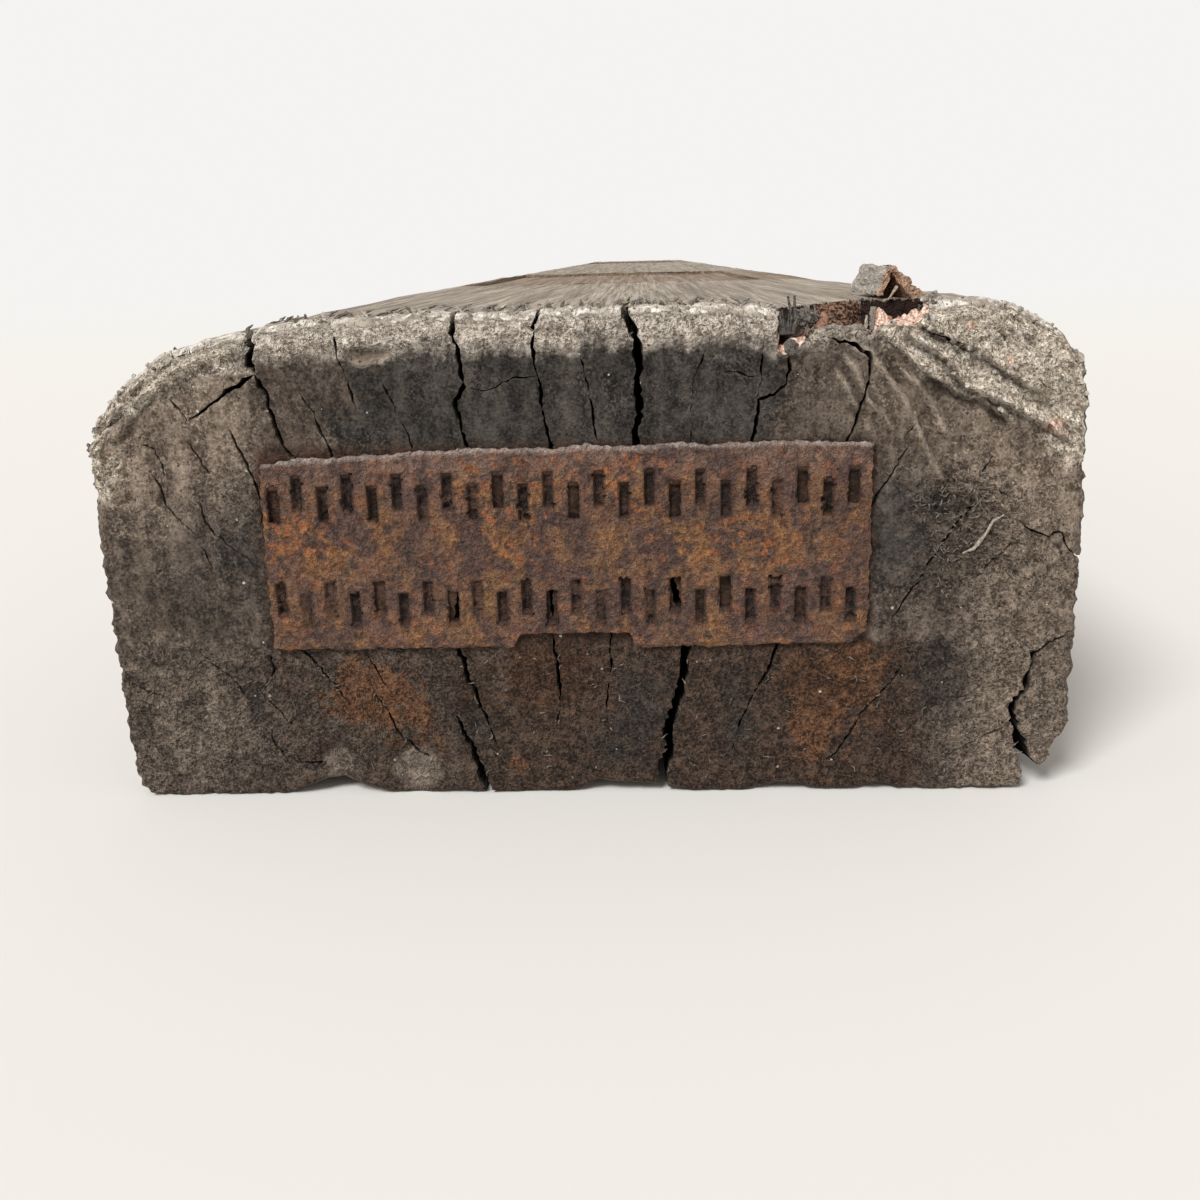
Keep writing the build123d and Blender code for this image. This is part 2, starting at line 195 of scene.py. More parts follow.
# Splits
# As the heart dries, the end grain tears open along its rays. Each split is a jagged mouth
# that narrows into the timber: its width where it starts and ends in mm, and its path
# across the end. The wide ones run right through, and behind the plate.
SPLITS = (
    (2.6, 2.0, (-83.5, 131), (-83.3, 124), (-83, 120.5), (-83.5, 118), (-82.3, 114.2)),
    (1.6, 0.5, (-82.3, 115), (-86.5, 112), (-89.5, 110.5), (-92.5, 108.5), (-96.5, 106), (-101, 103.5)),
    (0.3, 0.2, (-101, 103.5), (-104, 107.5), (-106.5, 109.5)),
    (1.3, 0.5, (-82.5, 114.8), (-81, 112), (-79.5, 108.5), (-79.5, 106), (-78.5, 103.5), (-78, 100), (-77, 97.5),
     (-75, 95), (-73, 93), (-71, 88), (-66, 76)),
    (0.35, 0.3, (-61.5, 124), (-61, 119), (-59, 114), (-58, 109), (-57, 105.5)),
    (0.4, 0.45, (-51.5, 117), (-50, 112.5), (-48, 107.5), (-46, 103), (-44.5, 100), (-43.5, 96), (-42, 90)),
    (0.35, 0.45, (-72, 112), (-70, 108), (-68, 104.5), (-66.5, 100), (-64.5, 95), (-63.5, 90.5), (-61, 84)),
    (0.25, 0.3, (-101, 98.5), (-98.5, 94.5), (-96, 89.5)),
    (0.2, 0.25, (-113.5, 99.5), (-112.5, 97), (-109.5, 96), (-107.5, 89.5)),
    (1.2, 1.2, (-32.5, 133), (-31.5, 123.5), (-30.5, 117.5), (-29.5, 111), (-32, 106), (-31, 101), (-29.5, 95.5),
     (-29.5, 82), (-33, 62), (-35.5, 44.5)),
    (1.7, 0.7, (-35.5, 45), (-34, 39), (-32, 32.5), (-29.5, 26), (-27.5, 21), (-25.5, 14.5)),
    (0.9, 0.9, (-9, 134), (-11.5, 125.5), (-12, 119.5), (-10.5, 109.5), (-9.5, 100.5), (-8, 95), (-7.5, 81.5),
     (-9.5, 60), (-9.5, 45)),
    (1.0, 0.4, (-9.5, 46), (-8.5, 38.5), (-8, 30), (-8, 24.5), (-9, 21.5), (-8, 15.5)),
    (0.25, 0.2, (-28, 110), (-24, 109.5), (-20.5, 110.5), (-16.5, 113), (-11.5, 112.5)),
    (0.3, 0.5, (-0.5, 118.5), (0.5, 114), (2, 109), (2.5, 104), (3.5, 95.5), (5, 70), (6, 45)),
    (0.5, 0.3, (6, 46), (5.5, 32.5), (4.5, 24), (4.5, 19)),
    (2.0, 1.7, (9.5, 134), (11.5, 127), (13, 124), (14, 120), (14, 111.5), (14.5, 105.5), (13.5, 100.5),
     (13.5, 95.5), (15.5, 81), (19, 66)),
    (1.6, 2.9, (18.5, 68), (26.5, 46.5), (25.5, 38), (24, 29.5), (22.5, 22.5), (21.5, 17), (20.5, 9.5), (19, 0),
     (18.5, -7)),
    (0.35, 0.5, (30.5, 119.5), (29.5, 115.5), (28, 112.5), (27, 104), (27, 95), (26, 82)),
    (0.35, 0.4, (45, 119.5), (44.5, 113.5), (43.5, 106.5)),
    (0.9, 1.1, (50.5, 119), (51.5, 113.5), (50.5, 110), (47.5, 107), (44, 106), (43.5, 101), (42.5, 96),
     (42.5, 86), (47, 64), (50, 42)),
    (1.1, 0.4, (50, 43), (47.5, 34.5), (44.5, 29.5), (42.5, 26), (40.5, 20.5), (37.5, 11)),
    (0.2, 0.25, (35.5, 113), (39.5, 112.5), (43.5, 111.5)),
    (0.7, 0.8, (71, 119), (71.5, 113), (70.5, 108), (69.5, 103.5), (68, 99.5), (66.5, 95.5), (64, 86)),
    (0.3, 0.4, (83, 100), (81.5, 97.5), (80.5, 95.5)),
    (0.5, 0.7, (81.5, 94), (79.5, 90.5), (78, 87), (75, 83), (72.5, 77.5)),
    (0.4, 0.35, (103, 91), (101, 87.5), (98.5, 84)),
    (0.9, 0.7, (101, 81), (97.5, 76.5), (94, 73), (91, 68.5), (87.5, 63), (85.5, 59), (79, 48)),
    (0.8, 0.6, (131, 65.5), (125.5, 64.5), (123, 67), (121, 71.5), (118, 70), (113, 72), (110, 74.5)),
    (0.4, 0.5, (111.5, 72), (108, 68), (103.5, 63.5), (100, 59.5)),
    (0.35, 0.3, (-90, 101), (-88, 96), (-86, 91.5), (-84.5, 86.5), (-83, 81.5), (-84, 76)),
    (0.3, 0.35, (-111.5, 91), (-109.5, 88), (-108.5, 82), (-104.5, 77.5), (-100.5, 72.5), (-97.5, 65)),
    (0.3, 0.3, (-99.5, 82), (-98.5, 78), (-96.5, 74), (-92.5, 70.5), (-86.5, 66)),
    (1.0, 0.6, (-78, 44), (-76.5, 41), (-73.5, 38), (-70, 32), (-67.5, 28.5), (-64.5, 24.5)),
    (0.4, 0.4, (-104, 41.5), (-101, 38.5), (-98.5, 36.5), (-94.5, 33), (-93, 29.5)),
    (0.4, 0.3, (-85.5, 41), (-84.5, 36.5), (-86.5, 33.5), (-89, 31), (-85.5, 26.5), (-81, 20.5)),
    (0.35, 0.25, (-131, 35), (-125.5, 33.5), (-119, 30.5), (-114, 28.5)),
    (0.5, 0.8, (-87, 21), (-87, 16.5), (-84, 11.5), (-80, 9), (-76, 7), (-72.5, 4)),
    (0.3, 0.35, (-60.5, 41.5), (-57.5, 37), (-55.5, 33), (-53.5, 29.5)),
    (0.6, 0.9, (-58.5, 29.5), (-54, 23.5), (-52, 17.5), (-48, 12.5), (-44, 10)),
    (1.3, 2.6, (-36, 22.5), (-34, 17.5), (-32, 12.5), (-30, 6.5), (-27.5, -1), (-25, -7)),
    (0.6, 0.8, (83, 37), (80.5, 32), (77, 27), (72, 22), (69.5, 17), (66.5, 12.5), (63, 9)),
    (0.3, 0.25, (111.5, 18.5), (106.5, 16.5), (102.5, 14.5), (99, 12.5), (95, 9.5)),
    (0.25, 0.3, (96.5, 26.5), (99.5, 27), (102, 29), (104, 31.5)),
    (0.3, 0.5, (85, 122), (88, 120.5), (91.5, 119.5), (93.5, 119)),
    # beside the broken corner
    (0.3, 1.0, (132, 47), (125, 44.6), (122, 42.9), (116.6, 38.6), (115.7, 33.6)),
    (1.3, 2.2, (115.8, 34.5), (114.9, 28.6), (112.3, 24.6), (112.1, 20.7), (113.5, 15.5)),
    (2.4, 4.6, (112.4, 19), (113.6, 15.2), (115.7, 10.5), (116.8, 5), (115.8, -1), (115.5, -8)),
    # the dark undercut below the lip of the torn place
    (0.8, 1.4, (60.6, 120.8), (64, 119.8), (66.5, 119.2), (68.8, 118), (70.8, 116.2), (71.2, 113.5)),
)


def cut_split(start_width, end_width, *path):
    """Cuts one split: its jagged mouth, drawn in front of the end, then three deeper outlines of it."""
    path = [Vector(unworn(*p)) for p in path]
    lengths = np.cumsum([0] + [(b - a).length for a, b in zip(path, path[1:])])
    count = max(6, int(lengths[-1]))
    last = count - 1
    at = np.linspace(0, lengths[-1], count)
    xs = np.interp(at, lengths, [p.x for p in path])
    zs = np.interp(at, lengths, [p.y for p in path])
    run = max(14.0, 60.0 * max(start_width, end_width))
    outlines = []
    # depth, share of the width left there, and how far it strays from the mouth
    for depth, share, wander in ((-7.0, 1.0, 0.0), (2.5, 0.92, 0.15), (run * 0.3, 0.6, 0.9), (run, 0.02, 2.0)):
        one_lip, other_lip = [], []
        for i, (x, z) in enumerate(zip(xs, zs)):
            ahead, behind = min(i + 1, last), max(i - 1, 0)
            across = Vector((zs[behind] - zs[ahead], xs[ahead] - xs[behind])).normalized()
            width = np.interp(i / last, (0, 1), (start_width, end_width))
            closing = min(1.0, 0.25 + 0.75 * min(i, last - i) / 3)
            half = max(width * np.interp(width, (0.6, 1.6), (0.44, 0.54)), 0.18) * share * closing + 0.02
            mid = Vector((x, z)) + across * (jitter(x, 0, z, 4.0, 0.3 + 0.2 * width) + jitter(x, 70, z, 1.1, 0.28))
            mid += across * jitter(x, depth, z, 14.0, wander)
            one_lip.append(mid + across * half * max(0.45, 1 + jitter(x, 5, z, 1.3, 0.7)))
            other_lip.append(mid - across * half * max(0.45, 1 + jitter(x, 55, z, 1.3, 0.7)))
        outlines.append([(p.x, NEAR_Y + depth, p.y) for p in one_lip + other_lip[::-1]])
    bm = bmesh.new()
    skin(bm, outlines)
    solid("split", bm, cutters)


for widths_and_path in SPLITS:
    cut_split(*widths_and_path)

# The broken corner
# Below the leaf of wood beside its split, the bottom corner has dropped away. The break
# runs 110 mm in and dies out.
BELOW, BESIDE = -8, 134
corner = ((112.6, BELOW), (114.8, 2), (117.0, 8.4), (118.6, 8.4), (120.2, 7.6), (121.5, 8.8), (122.4, 11.5),
          (123.4, 16.2), (125.9, 19.6), (126.8, 22.6), (BESIDE, 26), (BESIDE, BELOW))
bm = bmesh.new()
skin(bm, [[(BESIDE - (BESIDE - x) * share ** 0.5, NEAR_Y + depth, (z - BELOW) * share + BELOW) for x, z in corner]
          for depth, share in ((-7, 1), (7, 0.92), (31, 0.62), (66, 0.5), (112, 0.12))])
solid("corner", bm, cutters)

# The torn place in the top edge
# A piece 36 mm wide was levered out of the top arris. From the left its floor is a torn
# step, then a crumbling lip with a hollow and a honeycombed slope behind it, and at the
# right a jagged wall of heartwood with a gap behind it. Heights are at these depths, in mm.
TORN_DEPTHS = (-7, 0, 2.5, 5, 6.2, 8, 12, 16, 20, 24, 27)
TORN_FLOOR = (
    (48.4, (117.6, 117.6, 118.5, 121, 121.5, 122, 123, 126, 131, 132, 132)),
    (50.0, (116.6, 116.8, 118.8, 121, 121, 121, 122, 125, 131, 132, 132)),
    (53.5, (117.6, 118.2, 120.6, 120.6, 119.6, 119.5, 121, 123.5, 130, 132, 132)),
    (56.0, (121.0, 121.2, 121.4, 120.0, 118.8, 118.5, 121, 124.5, 128, 132, 132)),
    (59.5, (122.0, 122.2, 122.6, 121.8, 120.4, 119.6, 121.4, 125.6, 129.6, 132, 132)),
    (63.0, (121.6, 121.9, 122.6, 122.0, 120.8, 120.2, 122.2, 124.6, 127.0, 131, 132)),
    (67.0, (121.2, 121.5, 122.4, 122.2, 120.8, 120.0, 122.0, 124.2, 127.0, 131, 132)),
    (69.5, (120.2, 120.8, 122.0, 121.8, 120.2, 119.2, 121.4, 123.6, 126.4, 130, 132)),
    (70.8, (119.6, 120.0, 120.4, 118.4, 117.0, 116.6, 116.6, 117.2, 118.6, 126, 132)),
    (72.0, (119.8, 120.6, 122.0, 121.4, 117.8, 117.0, 117.0, 117.8, 119.6, 127, 132)),
    (73.2, (122.6, 123.4, 125.2, 127.2, 121.2, 119.0, 118.6, 121.0, 131, 132, 132)),
    (75.6, (122.8, 123.5, 124.6, 126.4, 120.6, 118.6, 118.6, 131, 132, 132, 132)),
    (77.8, (122.6, 123.2, 124.2, 125.2, 120.2, 118.4, 118.4, 131, 132, 132, 132)),
    (80.2, (122.8, 123.2, 124.8, 126.4, 120.6, 118.6, 118.8, 131, 132, 132, 132)),
    (82.4, (123.2, 123.6, 125.4, 127.4, 121.6, 119.4, 119.4, 131, 132, 132, 132)),
    (84.2, (124.8, 125.2, 126.6, 127.6, 124.4, 122.4, 122.6, 131, 132, 132, 132)),
    (85.6, (127.6, 127.6, 128.6, 129.4, 127.4, 125.4, 126, 131, 132, 132, 132)),
)
TORN_LEFT, TORN_WIDE, WALL_LEFT = 48.4, 37.2, 72.6
FIRST_DEPTH, TORN_RUN = -7, 34
floor_x = [x for x, _ in TORN_FLOOR]
bm = bmesh.new()
for v in bmesh.ops.create_grid(bm, x_segments=72, y_segments=60, size=0.5)["verts"]:
    x = TORN_LEFT + TORN_WIDE * (v.co.x + 0.5)
    depth = FIRST_DEPTH + TORN_RUN * (v.co.y + 0.5)
    z = float(np.interp(x, floor_x, [np.interp(depth, TORN_DEPTHS, heights) for _, heights in TORN_FLOOR]))
    ragged = float(np.interp(depth, (0, 3), (0.25, 1)))
    z += ragged * (jitter(x, depth, 7, 2.6, 1.3) + jitter(x, depth, 2, 1.1, 0.6))
    if x > WALL_LEFT and 2.5 < depth < 6:
        z += 0.9 * noise.noise((x * 1.3, 0, 4))
    if 0.02 < v.co.x + 0.5 < 0.98:
        x += jitter(7, depth, x / 9, 3.0, 0.8)
    depth += ragged * jitter(x, 4, z, 1.8, 0.7)
    across, z = unworn(x, z)
    v.co = (across, NEAR_Y + depth, z)
rim = [e for e in bm.edges if e.is_boundary]
for rise in (2.5, 2.5, 3.0, 20.0):
    grown = bmesh.ops.extrude_edge_only(bm, edges=rim)["geom"]
    ring = set(verts_of(grown))
    for v in ring:
        v.co += Vector((jitter(*v.co, 2.2, 0.8), jitter(v.co.z, v.co.x, v.co.y, 2.2, 0.8), rise))
    rim = [e for e in grown if isinstance(e, bmesh.types.BMEdge) and set(e.verts) <= ring]
for v in {v for e in rim for v in e.verts}:
    v.co.z = HEIGHT + 31
bmesh.ops.holes_fill(bm, edges=rim, sides=0)
solid("torn", bm, cutters)

# a scooped place in the top just behind the arris
bm = bmesh.new()
for v in bmesh.ops.create_icosphere(bm, subdivisions=4, radius=1)["verts"]:
    x, y, z = v.co.x * 15, v.co.y * 5.5, v.co.z * 3.2
    v.co = (22 + x + jitter(x, y, 0, 4, 1.5), NEAR_Y + 25 + y + 0.12 * x + jitter(x, y, 3, 4, 2.0),
            HEIGHT + z + jitter(x, y, z, 2, 0.9))
solid("scoop", bm, cutters)

cut = timber_block.modifiers.new("cut", "BOOLEAN")
cut.operation, cut.solver, cut.operand_type, cut.collection = "DIFFERENCE", "MANIFOLD", "COLLECTION", cutters
depsgraph = bpy.context.evaluated_depsgraph_get()
timber_mesh = bpy.data.meshes.new_from_object(timber_block.evaluated_get(depsgraph))
for used in list(cutters.objects) + [timber_block]:
    bpy.data.objects.remove(used)
bpy.data.collections.remove(cutters)
bm = bmesh.new()
bm.from_mesh(timber_mesh)
bmesh.ops.triangulate(bm, faces=bm.faces[:])
bmesh.ops.dissolve_degenerate(bm, dist=0.001, edges=bm.edges[:])
# where two surfaces came to share a diagonal, one of them takes its other diagonal
for edge in [e for e in bm.edges if len(e.link_faces) > 2]:
    pairs = [(one, other) for one in edge.link_loops for other in edge.link_loops if one.vert != other.vert]
    one, other = max(pairs, key=lambda pair: pair[0].face.normal.dot(pair[1].face.normal))
    a, b, p, q = one.vert, other.vert, one.link_loop_prev.vert, other.link_loop_prev.vert
    if bm.edges.get((p, q)) is None:
        bmesh.ops.delete(bm, geom=[one.face, other.face], context="FACES_ONLY")
        bm.faces.new((p, a, q))
        bm.faces.new((q, b, p))
bm.to_mesh(timber_mesh)
bm.free()

# Age
# Decades of rain, frost and handling have crowned the end, rounded its edges, scooped its
# bottom edge, and left ledges, ridges and dents in the end grain.
FOOT_X = (-127, -93.5, -85, -82, -78, -73.5, -68, -64, -57, -52, -42, -36.5, -31, -6, -3, -0.5, 2, 17, 21, 26,
          41.5, 47, 56.5, 60, 66, 70, 74, 78, 83.5, 91.5, 107.5, 113, 127)
FOOT_Z = (0, 0, 0, 0.6, 2.2, 4.3, 4.6, 3.2, 0.9, 0, 0, 0.8, 0, 0, 1.2, 2.8, 3.2, 2.6, 1.2, 0,
          0, 1.6, 1.7, 0.6, 0, 0.5, 1.4, 1.8, 0.6, 0, 0.3, 0.6, 0.2)
SAW_RIDGES = (
    ((70.5, 117), (74.5, 112.5), (78.5, 107), (82, 101), (84.5, 95.5), (87.5, 90), (90, 85.5)),
    ((64.5, 116.5), (67.5, 113), (69.5, 108.5), (71.5, 103.5)),
    ((63, 112.5), (65.5, 108.5), (68, 104)),
    ((71, 105), (74, 102.5), (77, 98.5)),
    ((79.5, 112), (83, 109), (85.5, 105.5), (88, 102), (90, 97.5)),
)
# each ledge's height, and its path
LEDGES = (
    (3.2, ((80, 121), (83, 118.5), (87.5, 116), (90.5, 112.5), (93.5, 108.5), (99.5, 106), (106, 103), (113, 99),
           (120, 95))),
    (2.6, ((84, 122.5), (89, 120), (93, 118.5), (96.5, 116.5), (100, 114), (103.5, 111.5), (110, 108))),
    (1.6, ((74, 119.5), (80, 115.5), (86, 110.5), (92, 106.5), (99, 104.6), (104, 101))),
)
SHOULDER_EDGE = ((70, 132), (74, 121), (80, 115.5), (86, 110.5), (92, 106.5), (99, 104.6), (106, 100), (113, 94),
                 (121, 88), (132, 82))
LOBE_CURL = ((-119, 100), (-115.5, 104), (-112.5, 108.5), (-107, 113), (-100, 117), (-92, 119.5), (-86, 121))


def smooth(low, high, value):
    share = np.clip((value - low) / (high - low), 0, 1)
    return share * share * (3 - 2 * share)


def grain(x, y, z, size, octaves=3):
    """Seeded roughness at each place, about -1 to 1. size is the spacing of its lumps in mm along x, y and z."""
    sx, sy, sz = size
    return np.array([noise.fractal(p, 0.8, 2.0, octaves) for p in zip(x / sx, y / sy, z / sz)])


def from_path(x, z, path):
    """Distance from a path across the end, and on which side of it each place lies."""
    nearest, side = np.full(len(x), 1e9), np.zeros(len(x))
    for (ax, az), (bx, bz) in zip(path, path[1:]):
        length = math.hypot(bx - ax, bz - az)
        ux, uz = (bx - ax) / length, (bz - az) / length
        t = np.clip((x - ax) * ux + (z - az) * uz, 0, length)
        away = np.hypot(x - ax - t * ux, z - az - t * uz)
        closer = away < nearest
        nearest = np.where(closer, away, nearest)
        side = np.where(closer, np.sign((x - ax) * uz - (z - az) * ux), side)
    return nearest, side


def bell(value, width):
    return np.exp(-((value / width) ** 2))


def spots(x, z, *places):
    """Soft round places added up. Each is its strength, its middle across and up, and its two radii."""
    return sum(strength * np.exp(-((x - cx) / rx) ** 2 - ((z - cz) / rz) ** 2) for strength, cx, cz, rx, rz in places)


co = np.zeros(len(timber_mesh.vertices) * 3, np.float32)
timber_mesh.vertices.foreach_get("co", co)
block = co.reshape(-1, 3).astype(float)
bx, by, bz = block.T
run_in = by - NEAR_Y
inside = np.minimum.reduce([run_in, -NEAR_Y - by, bz, HEIGHT - bz, HALF - np.abs(bx)])

# outline
near = bell(run_in, 150)
lump = grain(bx, run_in, bz, (9, 14, 9))
crumble = grain(bx, run_in, bz, (2.4, 4, 2.4))
top = np.interp(bx, section_x, section_top) * (1 - near) + np.interp(bx, end_x, end_top) * near
top += near * 0.5 * grain(bx, run_in, 0 * bz, (6, 30, 1))
foot = np.interp(bx, FOOT_X, FOOT_Z) * np.clip(1 - run_in / 26, 0, 1) ** 0.8
x, z = bx.copy(), bz / HEIGHT * top
z += foot * (1 - bz / HEIGHT) ** 3


def round_over(from_one, from_other, radius):
    """How far places near an edge move away from its two faces, given their distances from both."""
    a, b = np.maximum(radius - from_one, 0), np.maximum(radius - from_other, 0)
    near_edge = (a > 0) & (b > 0)
    pull = np.where(near_edge, np.maximum(a, b) / np.maximum(np.hypot(a, b), 1e-9), 1)
    return np.where(near_edge, a * (1 - pull), 0), np.where(near_edge, b * (1 - pull), 0)


# edges rounded over: those of the plated end, of the far end, and along the bottom
depth_under_top = np.maximum(top - z, 0)
arris = 6.5 + 2.0 * grain(bx, 0 * bx, 0 * bx, (16, 1, 1))
y_in = run_in.copy()
for from_face, radius, move in (
    (depth_under_top, arris, (0, -1)), (np.maximum(z - foot, 0), 1.8 + 1.2 * lump, (0, 1)),
    (HALF - bx, 3.2 + lump, (-1, 0)), (HALF + bx, 2.8 + lump, (1, 0)),
):
    inward, aside = round_over(run_in, from_face, np.maximum(radius, 0.8))
    y_in += inward
    x += aside * move[0]
    z += aside * move[1]
far_in = -NEAR_Y - by
for from_face, move in ((depth_under_top, (0, -1)), (z, (0, 1)), (HALF - bx, (-1, 0)), (HALF + bx, (1, 0))):
    inward, aside = round_over(far_in, np.maximum(from_face, 0), 3.0)
    y_in -= inward
    x += aside * move[0]
    z += aside * move[1]
for from_side, way, radius in ((HALF + bx, 1, 6.0), (HALF - bx, -1, 3.0)):
    aside, lift = round_over(np.maximum(from_side, 0), np.maximum(bz, 0), radius)
    x += way * aside
    z += lift
# the sides lean in towards the worn top corners
x += np.interp(z, (0, 4, 10, 20, 60, 96, 105), (1.5, 1.0, 0.6, 0, -0.6, 0, 2.5)) * np.clip(-bx / HALF, 0, 1) ** 4
x -= np.interp(z, (61, 87, 104, 117), (0, 1, 2, 3.6)) * np.clip(bx / HALF, 0, 1) ** 4

# relief of the end grain, outward in mm
shallow = bell(run_in, 7)
ex, ez = x, z
under = top - z
shoulder_edge, shoulder_side = from_path(ex, ez, SHOULDER_EDGE)
shoulder = smooth(-2.0, 2.5, -shoulder_side * shoulder_edge + 2.2 * lump) * smooth(66, 78, ex)
crust = smooth(10, 4.5, np.minimum(under * 0.9, (HALF + ex) * 1.4) + 3.5 * lump)
crust *= smooth(-84, -92, ex) * smooth(78, 92, ez)
relief = 0.7 * grain(ex, run_in * 0, ez, (34, 1, 26)) + 0.35 * lump
relief += crumble * (0.2 + 0.45 * smooth(60, 100, np.abs(ex)) + 0.3 * smooth(46, 40, ez))
relief += shoulder * (2.1 * lump + 0.8 * crumble + 0.5)
# painted shade under the ledges and beside the saw ridges, kept for the material
crease_shade = np.zeros(len(ex))
for height, path in LEDGES:
    away, side = from_path(ex, ez, path)
    beyond = -side * (away + 0.5 * crumble)
    reach = smooth(74, 84, ex) * smooth(126, 112, ex)
    relief += height * reach * smooth(-0.3, 0.4, beyond) * np.exp(-np.maximum(beyond, 0) / 4.0)
    relief -= 0.9 * reach * smooth(-2.6, -0.4, beyond) * (beyond < 0)
    crease_shade += reach * bell(beyond + 0.9, 1.0)
for path in SAW_RIDGES:
    away, _ = from_path(ex, ez, path)
    relief += 1.2 * bell(away, 0.8) - 0.5 * bell(away - 2.2, 1.5)
    crease_shade += 0.4 * bell(away - 2.0, 0.9)
curl, _ = from_path(ex, ez, LOBE_CURL)
relief += crust * (1.6 * lump + 1.0 * crumble) + 1.2 * bell(curl, 0.9) - 0.8 * bell(curl - 2.4, 1.4)
relief += (1.7 * crumble + 1.0 * lump - 0.2) * spots(ex, ez, (1, 96, 80, 13, 6))
relief += crumble * spots(ex, ez, (0.9, 110, 62, 18, 16), (0.8, 103, 86, 9, 5))
spall = spots(ex + 0.8 * crumble, ez + 0.5 * crumble, (1, -53.1, 118.6, 5.4, 2.3))
# dents, and one blister: height, then the two strengths of a soft spot where it starts and is full
for height, start, full, patch in (
    (-2.2, 0.1, 0.7, spots(ex, ez, (1, -69.8, 9.4, 5.6, 6))),
    (-2.5, 0.1, 0.7, spots(ex, ez, (1, -47.8, 8.0, 8.2, 7.6))),
    (-2.4, 0.3, 0.7, spots(ex, ez, (1, 96.9, 118.2, 3.1, 2.1))),
    (-2.6, 0.25, 0.5, spall),
    (0.9, 0.3, 0.6, spots(ex + crumble, ez, (1, -20.1, 8.7, 1.7, 2.3))),
):
    relief += height * smooth(start, full, patch)
y_in -= relief * shallow * (1 - 0.5 * smooth(4, 0, under))

# relief of the long faces, and the crumbled top of the plated end
outward = np.array([v.normal[:] for v in timber_mesh.vertices])
furrow = grain(bx, run_in, bz, (7, 160, 7))
fine_furrow = grain(bx, run_in, bz, (3.2, 60, 3.2), 2)
long_face = smooth(0.9, 0.5, np.abs(outward[:, 1])) * (inside < 0.05)
amount = long_face * (0.8 * furrow + 0.35 * fine_furrow)
amount += long_face * np.exp(-run_in / 16) * (0.45 * crumble + 0.3 * lump)
x += np.sign(outward[:, 0]) * (np.abs(outward[:, 0]) > 0.6) * amount
z += (outward[:, 2] > 0.6) * amount + (outward[:, 2] < -0.6) * np.maximum(amount, 0) * 0.6
z = np.where(bz < 1e-3, np.maximum(z, 0), z)

placed = np.stack([x, NEAR_Y + y_in, z], 1) * MM
timber_mesh.vertices.foreach_set("co", placed.astype(np.float32).ravel())
timber_mesh.update()

PLATE_X, PLATE_Z = -5.5, 69.0  # the middle of the nail plate
# where each finish lies, from 0 to 1, for the timber's material
worn_z = bz * top / HEIGHT
below_plate = smooth(46, 40, ez)
torn_zone = (smooth(47, 49, bx) * smooth(87, 85, bx) * smooth(30, 26, run_in) * smooth(0.05, 0.3, inside)
             * smooth(113, 115, bz))
pink_wall = 1.5 * torn_zone * smooth(72, 73.2, bx) * smooth(7.5, 6.5, run_in) * smooth(121.2, 122.6, worn_z)
torn_step = torn_zone * smooth(56, 54.5, bx) * smooth(4, 3, run_in) * smooth(122.6, 121.8, worn_z)
lip = torn_zone * smooth(55, 57, bx) * smooth(73, 72, bx) * smooth(7, 5.5, run_in)
honeycomb = torn_zone * smooth(59, 60.5, bx) * smooth(73, 71.5, bx) * smooth(8.5, 10, run_in)
ridge = np.minimum.reduce([from_path(ex, ez, path)[0] for path in SAW_RIDGES])
